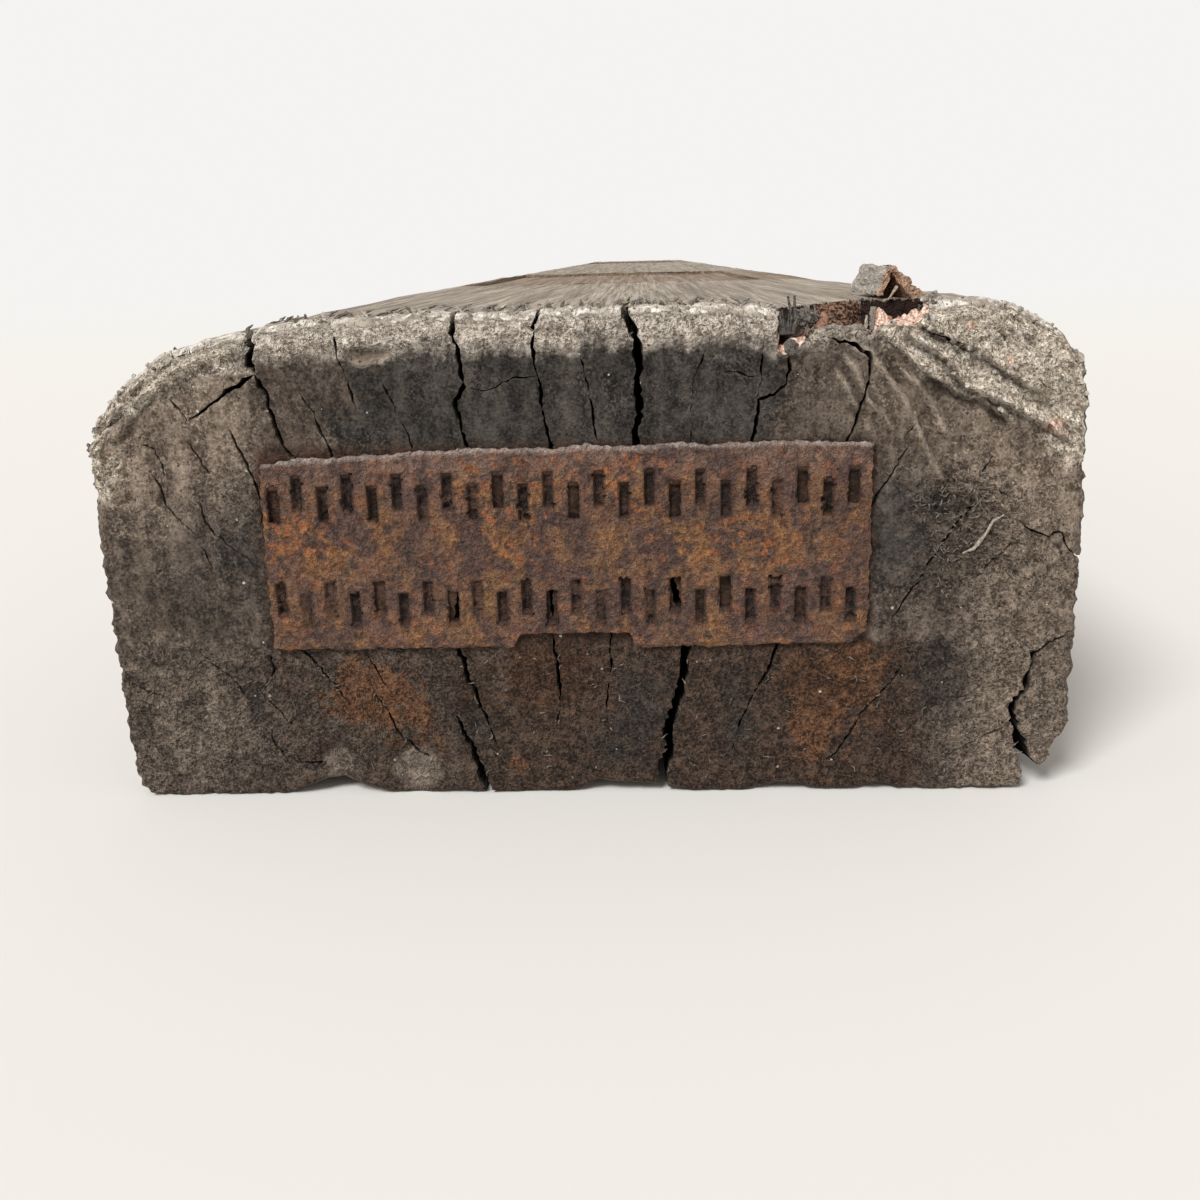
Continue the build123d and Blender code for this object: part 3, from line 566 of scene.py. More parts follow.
finishes = {
    "end_grain": smooth(0.35, 0.75, np.abs(outward[:, 1])) * (inside < 0.3) * (np.minimum(run_in, far_in) < 60),
    "pale_rim": smooth(15.0, 2.0, under + 1.2 * lump + 1.6 * grain(bx, 0 * bx, bz * 0, (11, 1, 1)))
    * smooth(95, 60, ex) * smooth(60, 100, ez),
    "crumb": smooth(2.2, 0.6, under + 0.8 * crumble) * np.exp(-run_in / 14),
    "charred": smooth(-78, -50, ex - 0.3 * (ez - 100) + 6 * lump) * smooth(56, 44, ex + 4 * lump) * smooth(80, 96, ez)
    + 0.75 * smooth(60, 72, ex) * smooth(96, 84, ex + 5 * lump) * smooth(52, 62, ez) * smooth(96, 80, ez)
    + spots(ex, ez, (0.6, -89, 74, 9, 17), (0.45, -103, 62, 9, 16)),
    "taupe": smooth(-72, -96, ex + 5 * lump) * smooth(62, 104, ez) + 0.2 * smooth(-95, -118, ex)
    + 0.8 * smooth(90, 108, ex)
    + spots(ex, ez, (0.6, 100, 92, 14, 12), (0.9, 78, 103, 13, 14), (0.6, -104, 20, 15, 18)),
    "gritty": shoulder + crust + lip,
    "rust_tint": spots(ex, ez, (1, -60, 30, 15, 8), (0.6, -46, 20, 9, 10), (0.7, 59, 17, 8, 12),
                       (0.8, -62.9, 23.7, 3, 2), (1, 66, 34, 13, 14), (0.8, -20.1, 8.7, 2.4, 2.8)),
    "reddish": spots(ex, ez, (1, -10, 36, 13, 14), (0.7, 60, 33, 13, 13), (0.5, -34, 30, 10, 12)),
    "brown": below_plate * smooth(100, 80, np.abs(ex)) * (0.55 + 0.45 * smooth(-40, -10, ex)),
    "honeycomb": honeycomb,
    # painted shade over the rest of the torn place, its hollow
    "hollow_shade": torn_zone * np.clip(1 - pink_wall - torn_step - lip - honeycomb, 0, 1),
    "white": smooth(-0.6, 0.4, crumble)
    * spots(ex, ez, (1, 82.4, 118.8, 1.0, 2.2), (1, 88.6, 122.9, 1.2, 0.8), (0.8, 98.6, 117.7, 1.2, 0.8)),
    "fresh": pink_wall + torn_step
    + spots(ex, ez, (1, 116.3, 98.4, 2.6, 2.0), (1, 94.7, 123, 1.4, 1.1), (1, 104.4, 114.5, 1.2, 1.0)),
    # paler bared wood in the dents, the spall and a small scar, and a painted highlight along the tops of the saw
    # ridges
    "scar_and_ridge_highlight": 0.4 * smooth(0.2, 0.6, spots(ex, ez, (1, -69.8, 8.6, 5, 5)))
    + 0.5 * smooth(0.2, 0.6, spots(ex, ez, (1, -47.8, 7.0, 7.4, 6.8)))
    + 1.2 * smooth(0.2, 0.45, spall) * (ez < 119.4) + spots(ex, ez, (0.8, -102.3, 26.1, 1.6, 2.9))
    + 0.8 * bell(ridge, 0.8),
    "rough": np.maximum(shoulder + crust + lip + 0.9 * smooth(13, 4, under + lump) + 0.75 * below_plate
                        + spots(ex, ez, (1, 96, 80, 13, 7), (0.9, 106, 62, 22, 20), (0.7, -98, 22, 26, 16),
                                (0.5, -86, 84, 16, 12)), 0.12),
    # painted shade in the creases, and below the lobe's curl
    "crease_shade": crease_shade + 0.5 * bell(curl - 2.2, 1.0) * smooth(80, 90, ez),
    "dark_patch": spots(ex, ez, (1, -32, 26, 7, 15), (0.8, 92, 32, 10, 13), (0.7, -107, 22, 4, 10),
                        (0.7, -90, 29, 4, 9), (0.8, 14, 26, 10, 16), (0.7, 40, 22, 7, 16), (0.5, 4, 12, 8, 8),
                        (0.35, 121, 28, 8, 18)),
    # painted shade: darker the deeper a place lies inside the block, as in the splits, bores and broken corner, but not
    # in the torn place or the seat imprints
    "shade_inside": smooth(0.2, 2.5, inside) * (1 - torn_zone) * ((run_in < 200) | (bz < HEIGHT - 2.4)),
    "plate_stain": smooth(4, -2, np.maximum(np.abs(ex - PLATE_X) - 78, np.abs(ez - PLATE_Z) - 26)),
    "seat_stain": smooth(210, 165, np.abs(np.abs(by) - SEAT_Y) + 12 * lump) * (outward[:, 2] > 0.3),
    "skyward": smooth(0.2, 0.7, outward[:, 2]),
}
for finish in finishes:
    if finish not in ("end_grain", "shade_inside", "seat_stain", "skyward"):
        finishes[finish] = finishes[finish] * (run_in < 60)


def dressed(mesh, strengths, degrees):
    """Keeps on the mesh where each finish lies, and shades it smooth but for edges that turn by more degrees."""
    for finish, strength in strengths.items():
        attribute = mesh.attributes.new(finish, "FLOAT", "POINT")
        attribute.data.foreach_set("value", np.clip(strength, 0, 1).astype(np.float32))
    for polygon in mesh.polygons:
        polygon.use_smooth = True
    mesh.set_sharp_from_angle(angle=math.radians(degrees))


dressed(timber_mesh, finishes, 50)
timber_mesh.materials.clear()
timber = bpy.data.objects.new("timber", timber_mesh)
bpy.context.scene.collection.objects.link(timber)


def blank_tree(owner):
    """The node tree of a material or the world, emptied."""
    owner.use_nodes = True
    owner.node_tree.nodes.clear()
    return owner.node_tree


def paint(code):
    """A colour given as sRGB hex, as the linear colour that a node takes."""
    parts = [int(code[i:i + 2], 16) / 255 for i in (0, 2, 4)]
    return tuple(p / 12.92 if p <= 0.04045 else ((p + 0.055) / 1.055) ** 2.4 for p in parts) + (1.0,)


def add(tree, kind, inputs=None, out=None, **settings):
    """Adds one node and returns it, or the output that out names. An input is a value, a colour's hex, or an output."""
    made = tree.nodes.new("ShaderNode" + kind)
    for key, value in settings.items():
        setattr(made, key, value)
    for key, value in (inputs or {}).items():
        if isinstance(value, bpy.types.NodeSocket):
            tree.links.new(value, made.inputs[key])
        else:
            made.inputs[key].default_value = paint(value) if isinstance(value, str) else value
    return made if out is None else made.outputs[out]


# Weathered hardwood: dense track oak, sawn, then greyed by decades of rain and oil. The end grain
# is charcoal and brown with light torn fibres 1-2 mm long, the rim is bleached to pale crumbs,
# and the long faces are silver-grey with fissures along the grain. It has no gloss.
oak = bpy.data.materials.new("weathered_oak")
tree = blank_tree(oak)
place = add(tree, "TexCoord", out="Object")
plain, along = (1, 1, 1), (1, 0.02, 1)
# each noise pattern: mm between lumps, octaves, roughness, twist, stretch along x y z, offset, and the two
# noise values that become 0 and 1
field = {}
for name, size, detail, rough, twist, stretch, offset, low, high in (
    ("broad", 20, 3, 0.6, 0, (1, 1, 0.6), 0, 0.4, 0.6),
    ("smear", 6, 3, 0.65, 0, (1, 1, 0.28), 0.3, 0.42, 0.7),
    ("patch", 5, 3, 0.65, 0, plain, 0.1, 0.36, 0.64),
    ("coarse", 2.6, 3, 0.75, 0, plain, 0.2, 0.41, 0.61),
    ("fine", 0.8, 2, 0.7, 0, plain, 0.4, 0.4, 0.62),
    # pit: fine pits painted dark as shade
    ("pit", 1.2, 2, 0.6, 0, plain, 0.7, 0.38, 0.33),
    ("rough_place", 13, 1, 0.5, 0, plain, 0.9, 0.42, 0.55),
    ("curl", 2.4, 2, 0.5, 0.6, plain, 0.31, 0, 1),
    ("streak", 5, 3, 0.65, 0, along, 0.15, 0.35, 0.65),
    ("fine_streak", 1.6, 2, 0.6, 0, along, 0.55, 0.4, 0.7),
    ("flute", 0.9, 1, 0.5, 0, (1, 1, 0.15), 0.25, 0.35, 0.65),
):
    mapped = add(tree, "Mapping", {0: place, 1: (offset, offset / 3, -offset), 3: stretch}, 0)
    raw = add(tree, "TexNoise", {"Vector": mapped, "Scale": 1000 / size, "Detail": detail, "Roughness": rough,
                                 "Distortion": twist}, 0)
    field[name] = add(tree, "MapRange", {0: raw, 1: low, 2: high}, 0)
finish = {name: add(tree, "Attribute", out="Fac", attribute_name=name) for name in finishes}
# torn fibres: thin light ridges where a curling noise passes its middle value
fibres = add(tree, "Math", {0: field["curl"], 1: 0.5}, 0, operation="SUBTRACT")
fibres = add(tree, "Math", {0: fibres}, 0, operation="ABSOLUTE")
fibres = add(tree, "MapRange", {0: fibres, 1: 0.01, 2: 0.045, 3: 1, 4: 0}, 0)
fibres = add(tree, "Math", {0: fibres, 1: field["fine"]}, 0, operation="MULTIPLY")
fibrous = add(tree, "Math", {0: field["rough_place"], 1: finish["rough"]}, 0, operation="MAXIMUM")
fibres = add(tree, "Math", {0: fibres, 1: fibrous}, 0, operation="MULTIPLY")
texture = add(tree, "Mix", {0: 0.5, 2: field["coarse"], 3: field["fine"]}, 0)
calm = add(tree, "Mix", {0: 0.5, 2: field["smear"], 3: texture}, 0)
texture = add(tree, "Mix", {0: finish["rough"], 2: calm, 3: texture}, 0)
texture = add(tree, "MapRange", {0: texture, 1: 0.1, 2: 0.93}, 0)
texture = add(tree, "Math", {0: fibres, 1: 0.8, 2: texture}, 0, operation="MULTIPLY_ADD", use_clamp=True)
dark_tone = add(tree, "Mix", {0: field["broad"], 6: "241d18", 7: "2e2620"}, 2, data_type="RGBA")
light_tone = add(tree, "Mix", {0: field["broad"], 6: "675a4f", 7: "7c6f64"}, 2, data_type="RGBA")
# each finish: how much the noise stirs its edge, and its tones where the texture is dark and light
for name, stirring, dark, light in (
    ("brown", 0.4, "1a110c", "604d40"),
    ("charred", 0.45, "131110", "534d47"),
    ("taupe", 0.35, "463b32", "a19181"),
    ("dark_patch", 0.45, "161210", "4c443e"),
    ("rust_tint", 0.7, "2f1c11", "825c42"),
    ("reddish", 0.45, "190e08", "5e4432"),
    ("pale_rim", 0.4, "74685c", "e0d5c7"),
    ("gritty", 0.5, "887a6a", "fdf0de"),
    # paler scarred wood, and the painted highlight on the saw ridges
    ("scar_and_ridge_highlight", 0.35, "7a6d60", "b5a798"),
    ("plate_stain", 0.3, "1c120d", "543d30"),
):
    mask = add(tree, "Math", {0: field["patch"], 1: stirring, 2: finish[name]}, 0, operation="MULTIPLY_ADD")
    mask = add(tree, "MapRange", {0: mask, 1: stirring, 2: 1.0 + 0.1 * stirring}, 0)
    dark_tone = add(tree, "Mix", {0: mask, 6: dark_tone, 7: dark}, 2, data_type="RGBA")
    light_tone = add(tree, "Mix", {0: mask, 6: light_tone, 7: light}, 2, data_type="RGBA")
end_colour = add(tree, "Mix", {0: texture, 6: dark_tone, 7: light_tone}, 2, data_type="RGBA")
# painted shade: darker in the creases and in fine pits of the end grain
for mask, strength, tone in ((finish["crease_shade"], 0.6, "2e2620"), (field["pit"], 0.7, "17120f")):
    mask = add(tree, "Math", {0: mask, 1: strength}, 0, operation="MULTIPLY")
    end_colour = add(tree, "Mix", {0: mask, 6: end_colour, 7: tone}, 2, data_type="RGBA")

# long faces: silver-grey above, brown-grey on the sides, rust under the baseplates
fissure_place = add(tree, "Mapping", {0: place, 1: (0.5, 0, 0.2), 3: (1, 0.025, 1)}, 0)
fissure = add(tree, "TexNoise", {"Vector": fissure_place, "Scale": 1000 / 7, "Detail": 2.0, "Roughness": 0.55}, 0,
              noise_type="RIDGED_MULTIFRACTAL")
side_colour = add(tree, "Mix", {0: field["streak"], 6: "5d534a", 7: "83786b"}, 2, data_type="RGBA")
sky_colour = add(tree, "Mix", {0: field["streak"], 6: "8f8476", 7: "bdb1a2"}, 2, data_type="RGBA")
long_colour = add(tree, "Mix", {0: finish["skyward"], 6: side_colour, 7: sky_colour}, 2, data_type="RGBA")
seat = add(tree, "MapRange", {0: field["streak"], 3: 0.75, 4: 0.3}, 0)
seat = add(tree, "Math", {0: seat, 1: finish["seat_stain"]}, 0, operation="MULTIPLY")
seat_colour = add(tree, "Mix", {0: field["patch"], 6: "6c4f39", 7: "94755a"}, 2, data_type="RGBA")
long_colour = add(tree, "Mix", {0: seat, 6: long_colour, 7: seat_colour}, 2, data_type="RGBA")
lines = add(tree, "Math", {0: field["fine_streak"], 1: 0.5}, 0, operation="MULTIPLY")
long_colour = add(tree, "Mix", {0: lines, 6: long_colour, 7: "5b524a"}, 2, data_type="RGBA")
cracks = add(tree, "MapRange", {0: fissure, 1: 0.8, 2: 1.1, 4: 0.85}, 0)
long_colour = add(tree, "Mix", {0: cracks, 6: long_colour, 7: "2b2521"}, 2, data_type="RGBA")
surface = add(tree, "Mix", {0: finish["end_grain"], 6: long_colour, 7: end_colour}, 2, data_type="RGBA")

# bleached crumbs 1.3 mm across along the arris, then the torn wood
cell = add(tree, "TexVoronoi", {"Vector": place, "Scale": 1000 / 1.3}, feature="F1")
cell_tone = add(tree, "SeparateColor", {0: cell.outputs["Color"]}, 0)
crumb_colour = add(tree, "Mix", {0: cell_tone, 6: "aba195", 7: "efe8de"}, 2, data_type="RGBA")
bleached = add(tree, "Math", {0: field["patch"], 1: 0.7, 2: finish["crumb"]}, 0, operation="MULTIPLY_ADD")
bleached = add(tree, "MapRange", {0: bleached, 1: 0.7, 2: 1.1}, 0)
surface = add(tree, "Mix", {0: bleached, 6: surface, 7: crumb_colour}, 2, data_type="RGBA")
comb = add(tree, "Math", {0: cell.outputs["Distance"], 1: field["fine"]}, 0, operation="MULTIPLY")
comb = add(tree, "MapRange", {0: comb, 1: 0.08, 2: 0.42}, 0)
comb_colour = add(tree, "Mix", {0: comb, 6: "26120b", 7: "8a6a56"}, 2, data_type="RGBA")
flute_colour = add(tree, "Mix", {0: field["flute"], 6: "ad8572", 7: "fadecb"}, 2, data_type="RGBA")
# the hollow of the torn place is painted dark brown as shade, then come its honeycomb, fresh wood and white specks
for mask, colour in (("hollow_shade", "261711"), ("honeycomb", comb_colour), ("fresh", flute_colour), ("white", "e8e4df")):
    ragged = add(tree, "Math", {0: field["patch"], 1: 0.4, 2: finish[mask]}, 0, operation="MULTIPLY_ADD")
    ragged = add(tree, "MapRange", {0: ragged, 1: 0.5, 2: 0.8}, 0)
    surface = add(tree, "Mix", {0: ragged, 6: surface, 7: colour}, 2, data_type="RGBA")
# specks of pale sand, and no light deep in the splits
speck = add(tree, "TexVoronoi", {"Vector": place, "Scale": 1000 / 3.6}, feature="F1")
speck_size = add(tree, "SeparateColor", {0: speck.outputs["Color"]}, 0)
speck_size = add(tree, "MapRange", {0: speck_size, 1: 0.7, 2: 1.0, 4: 0.12}, 0)
grit = add(tree, "Math", {0: speck.outputs["Distance"], 1: speck_size}, 0, operation="LESS_THAN")
grit = add(tree, "Math", {0: grit, 1: 0.75}, 0, operation="MULTIPLY")
surface = add(tree, "Mix", {0: grit, 6: surface, 7: "cfc4b6"}, 2, data_type="RGBA")
gloom = add(tree, "Math", {0: finish["shade_inside"], 1: 0.93}, 0, operation="MULTIPLY")
surface = add(tree, "Mix", {0: gloom, 6: surface, 7: "120d0a"}, 2, data_type="RGBA")
# relief in mm
height = 0.0
for pattern, depth in ((field["coarse"], 1.0), (field["patch"], 0.7), (fibres, 0.4)):
    height = add(tree, "Math", {0: pattern, 1: depth, 2: height}, 0, operation="MULTIPLY_ADD")
height = add(tree, "Math", {0: height, 1: finish["rough"]}, 0, operation="MULTIPLY")
height = add(tree, "Math", {0: field["fine"], 1: 0.12, 2: height}, 0, operation="MULTIPLY_ADD")
height = add(tree, "Math", {0: grit, 1: 0.25, 2: height}, 0, operation="MULTIPLY_ADD")
long_height = 0.0
for pattern, depth in ((fissure, -0.9), (field["fine_streak"], 0.9)):
    long_height = add(tree, "Math", {0: pattern, 1: depth, 2: long_height}, 0, operation="MULTIPLY_ADD")
chosen = add(tree, "Mix", {0: finish["end_grain"], 2: long_height, 3: height}, 0)
bump = add(tree, "Bump", {"Height": chosen, "Strength": 1.0, "Distance": 0.001}, 0)
shader = add(tree, "BsdfPrincipled", {"Base Color": surface, "Roughness": 0.88, "Specular IOR Level": 0.25,
                                      "Normal": bump}, 0)
add(tree, "OutputMaterial", {0: shader})
timber_mesh.materials.append(oak)
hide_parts("sleeper_timber")
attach(timber, "root")

# --- Splinters ------------------------------------------------------------------------
# Oak that broke but didn't fall. A folded sliver, charred fibres, a curl of heartwood, lumps
# and shards stand in the torn place, and dry splinters lift all along behind the arris. All
# are still held by the timber.
splinters = bmesh.new()
dye = splinters.verts.layers.float_color.new("dye")


def dyed(bm, already, code):
    """Gives every corner made since there were already so many its own colour of wood."""
    for v in list(bm.verts)[already:]:
        v[dye] = paint(code)


def strand(bm, code, radii, *path, sides=6, flat=1.0):
    """A splinter along a path of (x, depth, z), with its radii spread along it."""
    already = len(bm.verts)
    points = [Vector((x, NEAR_Y + depth, z)) for x, depth, z in path]
    reach = np.cumsum([0] + [(b - a).length for a, b in zip(points, points[1:])])
    count = max(3, int(reach[-1] / max(0.35, max(radii))))
    outlines = []
    for k in range(count + 1):
        here, ahead = [Vector([float(np.interp(at, reach, [p[i] for p in points])) for i in range(3)])
                       for at in (reach[-1] * k / (count + 0.5), reach[-1] * (k + 0.5) / (count + 0.5))]
        turn = (ahead - here).to_track_quat("Z", "Y").to_matrix()
        radius = float(np.interp(k / count, np.linspace(0, 1, len(radii)), radii))
        outline = []
        for i in range(sides):
            spoke = Vector((math.cos(2 * math.pi * i / sides), flat * math.sin(2 * math.pi * i / sides), 0))
            rough = 1 + jitter(here.x + spoke.x, here.y + spoke.y, here.z, 0.9, 0.5)
            outline.append(here + turn @ spoke * radius * rough)
        outlines.append(outline)
    skin(bm, outlines)
    dyed(bm, already, code)


def knob(bm, code, centre, radii, rough):
    """A weathered lump at (x, depth, z)."""
    already = len(bm.verts)
    for v in bmesh.ops.create_icosphere(bm, subdivisions=4, radius=1)["verts"]:
        n = v.co.copy()
        out = 1 + rough * noise.fractal(n * 2.4 + Vector(centre), 0.6, 2.0, 4)
        v.co = Vector((centre[0], NEAR_Y + centre[1], centre[2])) + Vector([n[i] * radii[i] * out for i in range(3)])
    dyed(bm, already, code)


# the folded sliver: two leaves that meet at a ridge, open below, from 15 mm to 52 mm in
SLIVER_FROM, DRIFT = 15, 0.028
fold = ((75.0, 130.0), (76.0, 132.6), (77.0, 135.2), (78.0, 137.1), (78.9, 137.1), (79.8, 136.3), (81.6, 134.7),
        (83.4, 133.1), (85.0, 131.7), (86.7, 130.4), (87.5, 128.0), (87.4, 124.6), (85.2, 124.6), (84.8, 126.9),
        (83.2, 128.9), (81.6, 131.0), (80.0, 133.3), (78.7, 135.6), (77.9, 135.2), (77.1, 132.8), (76.3, 130.2))
steps = np.linspace(0, len(fold) - 1, 61)
fold_x, fold_z = [np.interp(steps, range(len(fold)), [p[i] for p in fold]) for i in (0, 1)]
already = len(splinters.verts)
outlines = []
for depth in (SLIVER_FROM, 15.6, 17, 19, 21, 24, 28, 32, 37, 42, 47, 50, 52):
    ragged = 2.2 if depth in (SLIVER_FROM, 52) else 0.4
    run = depth - SLIVER_FROM
    outlines.append([Vector((x + jitter(x, depth / 8, z, 1.0, 0.8) - DRIFT * run,
                             NEAR_Y + depth + jitter(x, 0, z, 1.1, ragged),
                             z + jitter(x + 9, depth / 8, z, 1.0, 0.8) - (0.05 * run if z < 129 else 0.0)))
                     for x, z in zip(fold_x, fold_z)])
skin(splinters, outlines)
for v in list(splinters.verts)[already:]:
    x, run, z = v.co.x, v.co.y - NEAR_Y - SLIVER_FROM, v.co.z
    outer = x + DRIFT * run < 75.6 + (z - 130) * 0.4 or z > 130.6 - (x - 86.7) * 0.88 - 0.4
    v[dye] = paint("e8ba96" if run < 1.6 else "c8bfb3" if outer else "d09a74")
# loose fibres along the right leaf's broken front edge, and the pale one that crosses the gap
for i in range(9):
    x, z = 79.6 + 0.75 * i, 134.6 - 0.95 * i
    strand(splinters, ("c08a62", "8f5c3c", "d3a27c")[i % 3], (0.35, 0.3, 0.12), (x - 0.5, 15.2, z + 0.2),
           (x + 1.4, 14.6, z - 2.4), (x + 2.9 + 0.2 * (i % 2), 14.2, z - 4.6 + 0.5 * (i % 3)), flat=0.6)
strand(splinters, "d9b9a2", (0.5, 0.55, 0.3), (79.6, 14.6, 132.1), (78.9, 14.0, 130.9), (77.3, 14.0, 128.6), flat=0.6)
# charred fibres standing on end at the left
for i in range(60):
    lean = 2.6 * math.sin(i * 2.4)
    rise = 2.0 + 3.4 * (0.5 + 0.5 * math.sin(i * 5.1)) * (0.6 + 0.4 * math.cos(i * 2.4))
    x, depth = 50.8 + 0.62 * lean, 4.2 + 1.8 * math.cos(i * 1.9)
    strand(splinters, ("151210", "231d19", "0e0c0b")[i % 3], (0.42, 0.4, 0.12), (x, depth, 121.6),
           (x + 0.3 * lean, depth, 123.6), (x + 0.75 * lean, depth + 0.3, 122.6 + rise), sides=5)
for path in (((51.7, 5, 123), (51.9, 5.4, 127.4), (51.2, 6, 130.8)),
             ((52.9, 4.4, 121.5), (53.0, 5, 126.5), (52.7, 5, 131.0))):
    strand(splinters, "171412", (0.5, 0.42, 0.28), *path, sides=5)
# behind them a curl of orange heartwood, over a dark hollow
strand(splinters, "b5785a", (1.0, 1.4, 1.2, 0.5), (57.6, 5.6, 121.8), (59.4, 5.2, 122.8), (60.6, 5.8, 124.6),
       (60.0, 7.4, 126.8), sides=10)
for i in range(12):
    x = 52.8 + 0.6 * i
    strand(splinters, ("5a3322", "3a2016", "7d4d35")[i % 3], (0.5, 0.35, 0.15), (x, 3.2 + 0.3 * (i % 4), 121.0),
           (x + 0.4, 4.0, 122.2), (x + 0.9 * math.sin(i * 2.0), 5.0, 123.4 + 0.5 * math.sin(i * 3.7)))
# pink shards and pale splinters along the lip and in the gap
for i in range(16):
    x = 60.0 + 0.68 * i
    strand(splinters, ("d8a898", "c58b78", "e5c3b4")[i % 3], (0.32, 0.28, 0.08), (x, 9.5, 121.6), (x + 0.9, 9.0, 122.6),
           (x + 2.2, 9.0 + 0.4 * math.sin(i), 123.2 + 0.7 * math.sin(i * 2.7)), sides=5, flat=0.5)
for code, radii, path, sides, flat in (
    ("cfc2b0", (0.38, 0.45, 0.3), ((70.9, 6.4, 125.5), (70.6, 5.0, 123.6), (69.9, 4.0, 121.6)), 5, 0.7),
    ("8a8073", (0.7, 0.9, 0.6), ((72.6, 6.4, 127.4), (72.1, 5.2, 124.6), (71.8, 4.0, 121.4)), 7, 1.0),
    ("a39a8e", (0.3, 0.9, 0.5), ((57.6, 3.6, 122.2), (62.0, 3.4, 123.0), (66.4, 3.6, 122.4)), 8, 1.0),
    ("a39a8e", (0.3, 0.9, 0.5), ((64.6, 2.8, 122.8), (68.4, 2.6, 122.8), (71.6, 3.2, 121.6)), 8, 1.0),
):
    strand(splinters, code, radii, *path, sides=sides, flat=flat)
# dry straw-like splinters lifting from the scooped place, and grey ones all along the top behind the arris
for i in range(11):
    x, lift = 8 + 2.4 * i, 0.8 + 0.8 * math.sin(i * 2.3)
    strand(splinters, ("cdb995", "a8967a", "dccaa8")[i % 3], (0.2, 0.4, 0.12), (x, 16 + i % 3, 128.0),
           (x + 2.2, 18, 128.9 + 0.4 * lift), (x + 5.0, 20, 129.2 + lift), sides=5, flat=0.6)
for i in range(110):
    x, depth = -88 + 1.22 * i + 2 * math.sin(i * 1.7), 10 + 15 * (0.5 + 0.5 * math.sin(i * 2.6)) ** 1.5
    ground = float(np.interp(x, end_x, end_top))
    lift, lean = 0.5 + 1.1 * (0.5 + 0.5 * math.sin(i * 4.3)), 1.6 * math.sin(i * 3.1)
    strand(splinters, ("8d8275", "b7ac9d", "5b5148", "cfc5b6", "453c34")[i % 5], (0.25, 0.6, 0.15),
           (x, depth, ground - 0.5), (x + lean, depth + 2.5, ground + 0.6 * lift),
           (x + 2 * lean, depth + 5 + i % 4, ground + lift), sides=5, flat=0.5)
# a pale root-like fibre stuck to the end grain
strand(splinters, "cbbfac", (0.15, 0.4, 0.35, 0.5, 0.2), (106, -0.6, 76), (103.2, -1.1, 74.6), (101.4, -1.2, 71.2),
       (98.8, -0.9, 67.4), (96, -0.4, 66))
# the weathered lump behind the charred fibres, the dark nub on the step, and the lumps at the sliver's foot
for code, centre, radii, rough in (
    ("77716a", (56.2, 9, 124.6), (2.7, 2.6, 2.8), 0.5), ("4b4641", (51.7, 0.6, 118.4), (1.7, 1.4, 2.1), 0.25),
    ("a19a90", (88.0, 11.2, 127.8), (2.3, 1.6, 2.7), 0.4), ("5d5851", (85.7, 10, 125.6), (1.5, 1.8, 2.0), 0.6),
):
    knob(splinters, code, centre, radii, rough)
torn_wood = solid("torn_splinters", splinters, scale=MM)
dressed(torn_wood.data, {}, 40)

# Torn hardwood: fibres broken along the grain and never planed, matt, fresh ones pink and the rest
# greyed or charred. Each splinter keeps its own colour on the mesh.
torn_oak = bpy.data.materials.new("torn_oak")
tree = blank_tree(torn_oak)
place = add(tree, "TexCoord", out="Object")
field = {}
for name, size, detail, rough, twist, stretch, offset, low, high in (
    ("flake", 1.8, 4, 0.7, 0.5, (1, 0.5, 1), 0.6, 0.36, 0.64),
    ("hair", 0.5, 2, 0.6, 0, (1, 0.12, 0.6), 0.2, 0.35, 0.65),
):
    mapped = add(tree, "Mapping", {0: place, 1: (offset, offset / 3, -offset), 3: stretch}, 0)
    raw = add(tree, "TexNoise", {"Vector": mapped, "Scale": 1000 / size, "Detail": detail, "Roughness": rough,
                                 "Distortion": twist}, 0)
    field[name] = add(tree, "MapRange", {0: raw, 1: low, 2: high}, 0)
own = add(tree, "Attribute", out="Color", attribute_name="dye")
darker = add(tree, "Mix", {0: 0.72, 6: own, 7: "1c1410"}, 2, data_type="RGBA")
lighter = add(tree, "Mix", {0: 0.22, 6: own, 7: "e8ded2"}, 2, data_type="RGBA")
share = add(tree, "Mix", {0: 0.45, 2: field["flake"], 3: field["hair"]}, 0)
colour = add(tree, "Mix", {0: share, 6: darker, 7: lighter}, 2, data_type="RGBA")
bump = add(tree, "Bump", {"Height": share, "Strength": 0.9, "Distance": 0.0006}, 0)
shader = add(tree, "BsdfPrincipled", {"Base Color": colour, "Roughness": 0.85, "Specular IOR Level": 0.3,
                                      "Normal": bump}, 0)
add(tree, "OutputMaterial", {0: shader})
torn_wood.data.materials.append(torn_oak)
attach(torn_wood, "root")

# --- Crumbs and torn fibres -------------------------------------------------------------
# Bleached crumbs of the same wood, under 1.5 mm, that cling by their fibres along the
# arris, the shoulder, the lobe's rim and the torn lip, and torn fibres of the end grain.
chance = random.Random(11)
clinging = np.clip(finishes["crumb"] * (run_in < 9) + (0.35 * shoulder + 0.9 * crust) * shallow * (run_in < 6)
                   + 1.2 * lip, 0, 1)
bm = bmesh.new()
dye = bm.verts.layers.float_color.new("dye")
for i in chance.sample([int(i) for i in np.flatnonzero(clinging > 0.3)], 300):
    v = timber_mesh.vertices[i]
    size, tone = 0.25 + 0.5 * chance.random() ** 2, paint(chance.choice(("b3a999", "d5cbbd", "948879", "e6dfd4")))
    centre = v.co * 1000 + v.normal * size * 0.3
    for corner in bmesh.ops.create_icosphere(bm, subdivisions=2, radius=size)["verts"]:
        rough = 1 + 0.9 * noise.noise(corner.co / size * 1.3 + Vector((i, 0, 0)))
        corner.co = centre + corner.co * rough
        corner[dye] = tone
